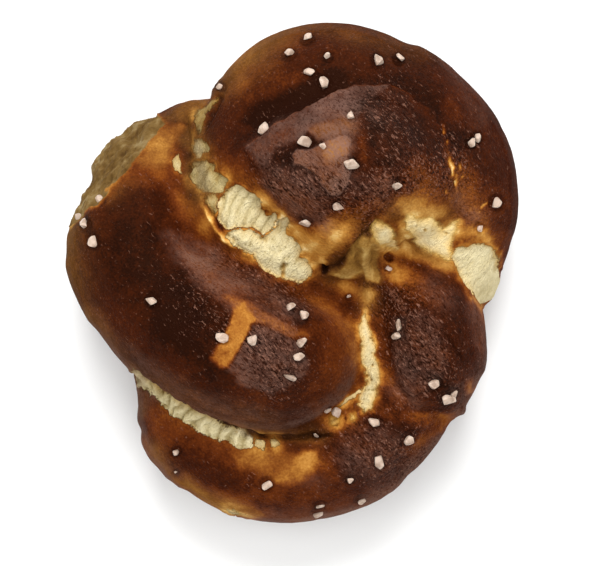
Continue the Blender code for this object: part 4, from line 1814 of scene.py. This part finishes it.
        # The torn side and the base.
        torn_tone = made.total(
            made.scaled(broad, -0.35, 0.95), made.scaled(made.noise(1.6, 5.0), -0.2, 0.64)
        )
        colour = made.mixed(is_torn, colour, made.ramp(torn_tone, self.torn))
        tray = made.mixed(made.stepped(broad, 0.35, 0.65), *self.base)
        colour = made.mixed(made.stepped(made.height(), 0.12, 0.02), colour, tray)
        made.shader_input("Base Color", colour)

        # The crust shines a little, least on crumb and where it turns away.
        gloss = made.total(made.scaled(fine, 0.3, 0.5), made.times(bloom_and_sheen, 0.15))
        facing = made.add("ShaderNodeLayerWeight", {"Blend": 0.5}).outputs["Facing"]
        dull = made.math("MAXIMUM", in_crumb, is_torn)
        dull = made.math("MAXIMUM", dull, made.stepped(facing, 0.45, 0.85))
        made.shader_input("Roughness", made.blended(dull, gloss, 0.85))
        middle = made.stepped(facing, 0.15, 0.6, 1.0, 0.0)
        shine = made.times(middle, made.scaled(leather, 0.035, 0.08))
        shine = made.total(shine, made.stepped(facing, 0.5, 0.9, 0.0, 0.05))
        made.shader_input("Specular IOR Level", shine)
        made.shader_input("Specular Tint", self.tint)

        # The finest relief: scaly leather on the crust, and strands on the crumb.
        ridged = made.math("SUBTRACT", made.noise(0.9, 3.0, 1.6, bend=1.2), 0.5)
        scaly = made.total(made.scaled(made.math("ABSOLUTE", ridged), 0.0, -2.0), wrinkled)
        skin = made.times(scaly, made.scaled(leather, 0.2, 1.0), made.scaled(dark, 0.3, 1.0))
        strands = made.total(made.scaled(fibre, 0.0, 0.6), made.scaled(fine, 0.0, 0.3))
        normal = made.bump(made.blended(in_crumb, skin, strands), 0.7)
        normal = made.bump(made.times(fine, 0.5), 0.14, normal)
        made.shader_input("Normal", made.bump(micro, 0.03, normal))
        return made.material


@dataclass(frozen=True)
class SaltFinish:
    """Coarse salt: whitish, slightly see-through grains.

    Attributes:
        dark: the grains' darker colour.
        light: their light colour.
        clear: how much light goes into a grain.
        clear_depth: how deep it goes, in millimetres.
    """

    dark: Colour = shade(154, 130, 112)
    light: Colour = shade(187, 165, 147)
    clear: float = 0.25
    clear_depth: float = 0.6

    def material(self) -> bpy.types.Material:
        """Builds the material.

        Returns:
            The material.
        """
        made = Recipe("coarse salt")
        cloud = made.stepped(made.noise(1.4, 3.0), 0.35, 0.6)
        made.shader_input("Base Color", made.mixed(cloud, self.dark, self.light))
        made.shader_input("Roughness", made.scaled(made.noise(0.5, 2.0), 0.35, 0.65))
        made.shader_input("Subsurface Weight", self.clear)
        made.shader_input("Subsurface Radius", (0.8, 0.6, 0.5))
        made.shader_input("Subsurface Scale", self.clear_depth * MM)
        made.shader_input("Normal", made.bump(made.noise(0.35, 3.0), 0.06))
        return made.material


@dataclass(frozen=True)
class PaperFinish:
    """The plain pale floor.

    Attributes:
        light: the floor's colour.
        dark: its colour where it is a trace darker.
    """

    light: Colour = shade(244, 244, 243)
    dark: Colour = shade(241, 241, 240)

    def material(self) -> bpy.types.Material:
        """Builds the material.

        Returns:
            The material.
        """
        made = Recipe("pale floor")
        tint = made.scaled(made.noise(60.0, 2.0), 0.0, 1.0)
        made.shader_input("Base Color", made.mixed(tint, self.light, self.dark))
        made.shader_input("Roughness", 0.9)
        made.shader_input("Specular IOR Level", 0.1)
        return made.material


# ------------------------------------------------------------------------------------ salt


@dataclass
class Salt:
    """Coarse salt grains, thrown on the loaf from above.

    Attributes:
        corners: how many corners each grain is cut from.
        roundness: how far its corners lie from its middle.
        jaggedness: how much that differs from corner to corner.
        thickness: of a grain, as a share of its width.
        raised: how far a grain's middle stands above the crust, as a share of its width.
        seed: picks the grains' forms.
        seeds_apart: from one grain's form to the next.
        upright: how much a grain stands up on the slope that it lies on.
        worn: how sharp its edges stay.
    """

    corners: int = 15
    roundness: float = 0.72
    jaggedness: float = 0.34
    thickness: float = 0.8
    raised: float = 0.18
    seed: int = 7
    seeds_apart: float = 17.0
    upright: float = 0.7
    worn: float = 0.45

    def build(self, loaf: bpy.types.Object, finish: bpy.types.Material) -> bpy.types.Object:
        """Lays the grains on the loaf.

        Args:
            loaf: the loaf's skin.
            finish: the grains' material.

        Returns:
            The grains, as one mesh.
        """
        grains = add_object("salt_grains", self.starting_points())
        sprinkle = grains.modifiers.new("sprinkle", "NODES")
        tree = self.tree()
        sprinkle.node_group = tree
        values = {
            "Loaf": loaf, "Finish": finish, "Eye": tuple(value * MM for value in EYE),
            "Corners": self.corners, "Thickness": self.thickness, "Raised": self.raised,
            "Seed": self.seed,
        }
        for item in tree.interface.items_tree:
            if item.name in values:
                sprinkle[item.identifier] = values[item.name]
        bake_modifiers(grains)
        return grains

    @staticmethod
    def starting_points() -> bpy.types.Mesh:
        """Lays one point for each grain on the plan, with its sizes and turn.

        Returns:
            A mesh of points alone.
        """
        mesh = bpy.data.meshes.new("salt_grains")
        x, y = PLAN_ORIGIN
        level = OUTLINE_LEVEL * MM
        points = [((one.x + x) * MM, (one.y + y) * MM, level) for one in GRAINS]
        mesh.from_pydata(points, [], [])
        sizes = [(one.length * MM, one.width * MM, radians(one.turn)) for one in GRAINS]
        stored = mesh.attributes.new("cut", "FLOAT_VECTOR", "POINT")
        stored.data.foreach_set("vector", np.array(sizes, np.float32).ravel())
        return mesh

    def tree(self) -> bpy.types.NodeTree:
        """Builds the tree that throws the points on the loaf and cuts a grain at each.

        Returns:
            The node tree.
        """
        tree = bpy.data.node_groups.new("sprinkled salt", "GeometryNodeTree")
        for name, direction, kind in (
            ("Geometry", "INPUT", "Geometry"), ("Loaf", "INPUT", "Object"),
            ("Finish", "INPUT", "Material"), ("Eye", "INPUT", "Vector"),
            ("Corners", "INPUT", "Int"), ("Thickness", "INPUT", "Float"),
            ("Raised", "INPUT", "Float"), ("Seed", "INPUT", "Int"),
            ("Geometry", "OUTPUT", "Geometry"),
        ):
            tree.interface.new_socket(name, in_out=direction, socket_type="NodeSocket" + kind)
        work = NodeWork(tree)
        given = work.add("NodeGroupInput").outputs

        # Each point falls along the line from the eye, and lands on the loaf.
        start = work.add("GeometryNodeInputPosition").outputs["Position"]
        body = work.add("GeometryNodeObjectInfo", {"Object": given["Loaf"]})
        cast = work.add("GeometryNodeRaycast", {
            "Target Geometry": body.outputs["Geometry"],
            "Source Position": given["Eye"],
            "Ray Direction": work.vector("SUBTRACT", {0: start, 1: given["Eye"]}),
            "Ray Length": 1.0,
        })
        cut = work.add("GeometryNodeInputNamedAttribute", {"Name": "cut"}, data_type="FLOAT_VECTOR")
        each = work.add("GeometryNodeForeachGeometryElementInput")
        done = work.add("GeometryNodeForeachGeometryElementOutput")
        each.pair_with_output(done)
        for name in ("Place", "Normal", "Cut"):
            done.input_items.new("VECTOR", name)
        done.generation_items[0].name = "Grain"
        work.give(each.inputs["Geometry"], given["Geometry"])
        work.give(each.inputs["Place"], cast.outputs["Hit Position"])
        work.give(each.inputs["Normal"], cast.outputs["Hit Normal"])
        work.give(each.inputs["Cut"], cut.outputs["Attribute"])

        # The edges are worn a little, and the grains get their finish.
        work.give(done.inputs["Grain"], self.grain(work, each.outputs, given))
        worn = work.add("GeometryNodeSubdivisionSurface", {
            "Mesh": done.outputs["Grain"], "Level": 2, "Edge Crease": self.worn,
        })
        real = work.add("GeometryNodeRealizeInstances", {"Geometry": worn.outputs["Mesh"]})
        dressed = work.add("GeometryNodeSetMaterial", {
            "Geometry": real.outputs["Geometry"], "Material": given["Finish"],
        })
        work.add("NodeGroupOutput", {"Geometry": dressed.outputs["Geometry"]})
        return tree

    def grain(
        self, work: NodeWork, point: bpy.types.NodeOutputs, given: bpy.types.NodeOutputs
    ) -> Socket:
        """Cuts one grain, the hull of a few random corners, and sets it on the loaf.

        Args:
            work: the tree.
            point: what is known of the point that the grain lies at.
            given: the tree's inputs.

        Returns:
            The grain's geometry.
        """
        index = {0: point["Index"], 1: self.seeds_apart, 2: given["Seed"]}
        seed = work.add("ShaderNodeMath", index, operation="MULTIPLY_ADD").outputs[0]
        spread = {"Min": (-1.0, -1.0, -1.0), "Seed": seed}
        scatter = work.add("FunctionNodeRandomValue", spread, data_type="FLOAT_VECTOR")
        loose = scatter.outputs["Value"]
        ball = {0: work.vector("NORMALIZE", {0: loose}), "Scale": self.roundness}
        shaken = {0: loose, "Scale": self.jaggedness}
        corner = {0: work.vector("SCALE", ball), 1: work.vector("SCALE", shaken)}
        corner = work.vector("ADD", corner)
        points = work.add("GeometryNodePoints", {"Count": given["Corners"], "Position": corner})
        hull = work.add("GeometryNodeConvexHull", {"Geometry": points.outputs["Points"]})

        cut = work.add("ShaderNodeSeparateXYZ", {"Vector": point["Cut"]})
        length, width, angle = cut.outputs
        height = work.times(width, given["Thickness"])
        sizes = work.add("ShaderNodeCombineXYZ", {"X": length, "Y": width, "Z": height})
        up = work.vector("ADD", {0: point["Normal"], 1: (0.0, 0.0, self.upright)})
        tilt = work.add("FunctionNodeAlignRotationToVector", {"Vector": up}, axis="Z")
        upwards = {"Axis": (0.0, 0.0, 1.0), "Angle": angle}
        turn = work.add("FunctionNodeAxisAngleToRotation", upwards)
        turns = {"Rotation": tilt.outputs["Rotation"], "Rotate By": turn.outputs["Rotation"]}
        facing = work.add("FunctionNodeRotateRotation", turns, rotation_space="LOCAL")
        rise = {0: point["Normal"], "Scale": work.times(width, given["Raised"])}
        return work.add("GeometryNodeTransform", {
            "Geometry": hull.outputs["Convex Hull"],
            "Translation": work.vector("ADD", {0: point["Place"], 1: work.vector("SCALE", rise)}),
            "Rotation": facing.outputs["Rotation"],
            "Scale": work.vector("SCALE", {0: sizes.outputs["Vector"], "Scale": 0.5}),
        }).outputs["Geometry"]


# ---------------------------------------------------------------------------------- studio


@dataclass
class Studio:
    """A pale floor, soft light from above and the camera over the loaf.

    Attributes:
        floor_size: of the floor, in metres.
        floor_drop: how far it lies under the loaf, in metres.
        frame_width: what the picture's width covers at the outline's level, in metres.
        sensor: the camera's width of film, in millimetres.
        ambient: strength of the light from all round.
        lamps: name, place, side and power of the soft square lights, in metres and watts.
    """

    floor_size: float = 4.0
    floor_drop: float = 0.2 * MM
    frame_width: float = 0.12
    sensor: float = 36.0
    ambient: float = 0.35
    lamps: tuple[tuple[str, tuple[float, float, float], float, float], ...] = (
        ("key", (0.0, 0.6, 0.68), 0.45, 8.5),
        ("front", (0.1, -0.7, 0.6), 0.6, 2.5),
        ("left", (-0.72, 0.05, 0.6), 0.6, 1.6),
        ("right", (0.75, -0.05, 0.55), 0.6, 1.2),
        ("top", (0.0, 0.0, 1.1), 0.8, 4.5),
    )

    def build(self) -> bpy.types.Object:
        """Builds the lights, the camera and the floor.

        Returns:
            The floor.
        """
        for lamp in self.lamps:
            self.lamp(*lamp)
        self.surroundings()
        self.camera()
        return self.floor()

    def floor(self) -> bpy.types.Object:
        """Builds the pale floor that the loaf lies on.

        Returns:
            The floor.
        """
        half = self.floor_size / 2
        mesh = bpy.data.meshes.new("floor")
        corners = [(-half, -half), (half, -half), (half, half), (-half, half)]
        mesh.from_pydata([(x, y, -self.floor_drop) for x, y in corners], [], [(0, 1, 2, 3)])
        mesh.materials.append(PaperFinish().material())
        return add_object("floor", mesh)

    @staticmethod
    def lamp(name: str, place: tuple[float, ...], size: float, power: float) -> None:
        """Adds a square soft light that faces the loaf.

        Args:
            name: of the light.
            place: where it hangs, in metres.
            size: of its side, in metres.
            power: in watts.
        """
        data = bpy.data.lights.new(name, "AREA")
        data.size = size
        data.energy = power
        made = add_object(name, data)
        made.location = place
        made.rotation_euler = (-Vector(place)).to_track_quat("-Z", "Y").to_euler()

    def surroundings(self) -> None:
        """The even light of the room."""
        world = bpy.data.worlds.new("room")
        world.use_nodes = True
        light = world.node_tree.nodes["Background"]
        light.inputs["Color"].default_value = (1.0, 1.0, 1.0, 1.0)
        light.inputs["Strength"].default_value = self.ambient
        bpy.context.scene.world = world

    def camera(self) -> None:
        """The camera, straight above the loaf."""
        data = bpy.data.cameras.new("camera")
        data.sensor_width = self.sensor
        away = (EYE[2] - OUTLINE_LEVEL) * MM
        data.lens = self.sensor * away / self.frame_width
        data.clip_start = 0.01
        made = add_object("camera", data)
        made.location = tuple(value * MM for value in EYE)
        bpy.context.scene.camera = made
        bpy.context.scene.view_settings.view_transform = "Standard"


def report(name: str, made: bpy.types.Object) -> None:
    """Logs a piece's name and how many triangles it has."""
    made.data.calc_loop_triangles()
    log.info("%s: %d triangles", name, len(made.data.loop_triangles))


def corners(bounds: tuple) -> list[list[float]]:
    """A box's two corners as plain lists."""
    return [[float(value) for value in corner] for corner in bounds]


def main() -> None:
    """Builds the loaf, its salt and the studio."""
    logging.basicConfig(level=logging.INFO, format="%(name)s %(message)s")
    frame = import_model()

    loaf = Loaf(cad=frame["nodes"][NODE]).build(CrustFinish().material())
    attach(loaf, BODY)
    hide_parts(NODE)
    report("loaf", loaf)

    salt = Salt().build(loaf, SaltFinish().material())
    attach(salt, BODY)
    report("salt", salt)

    Studio().build()


if __name__ == "__main__":
    main()
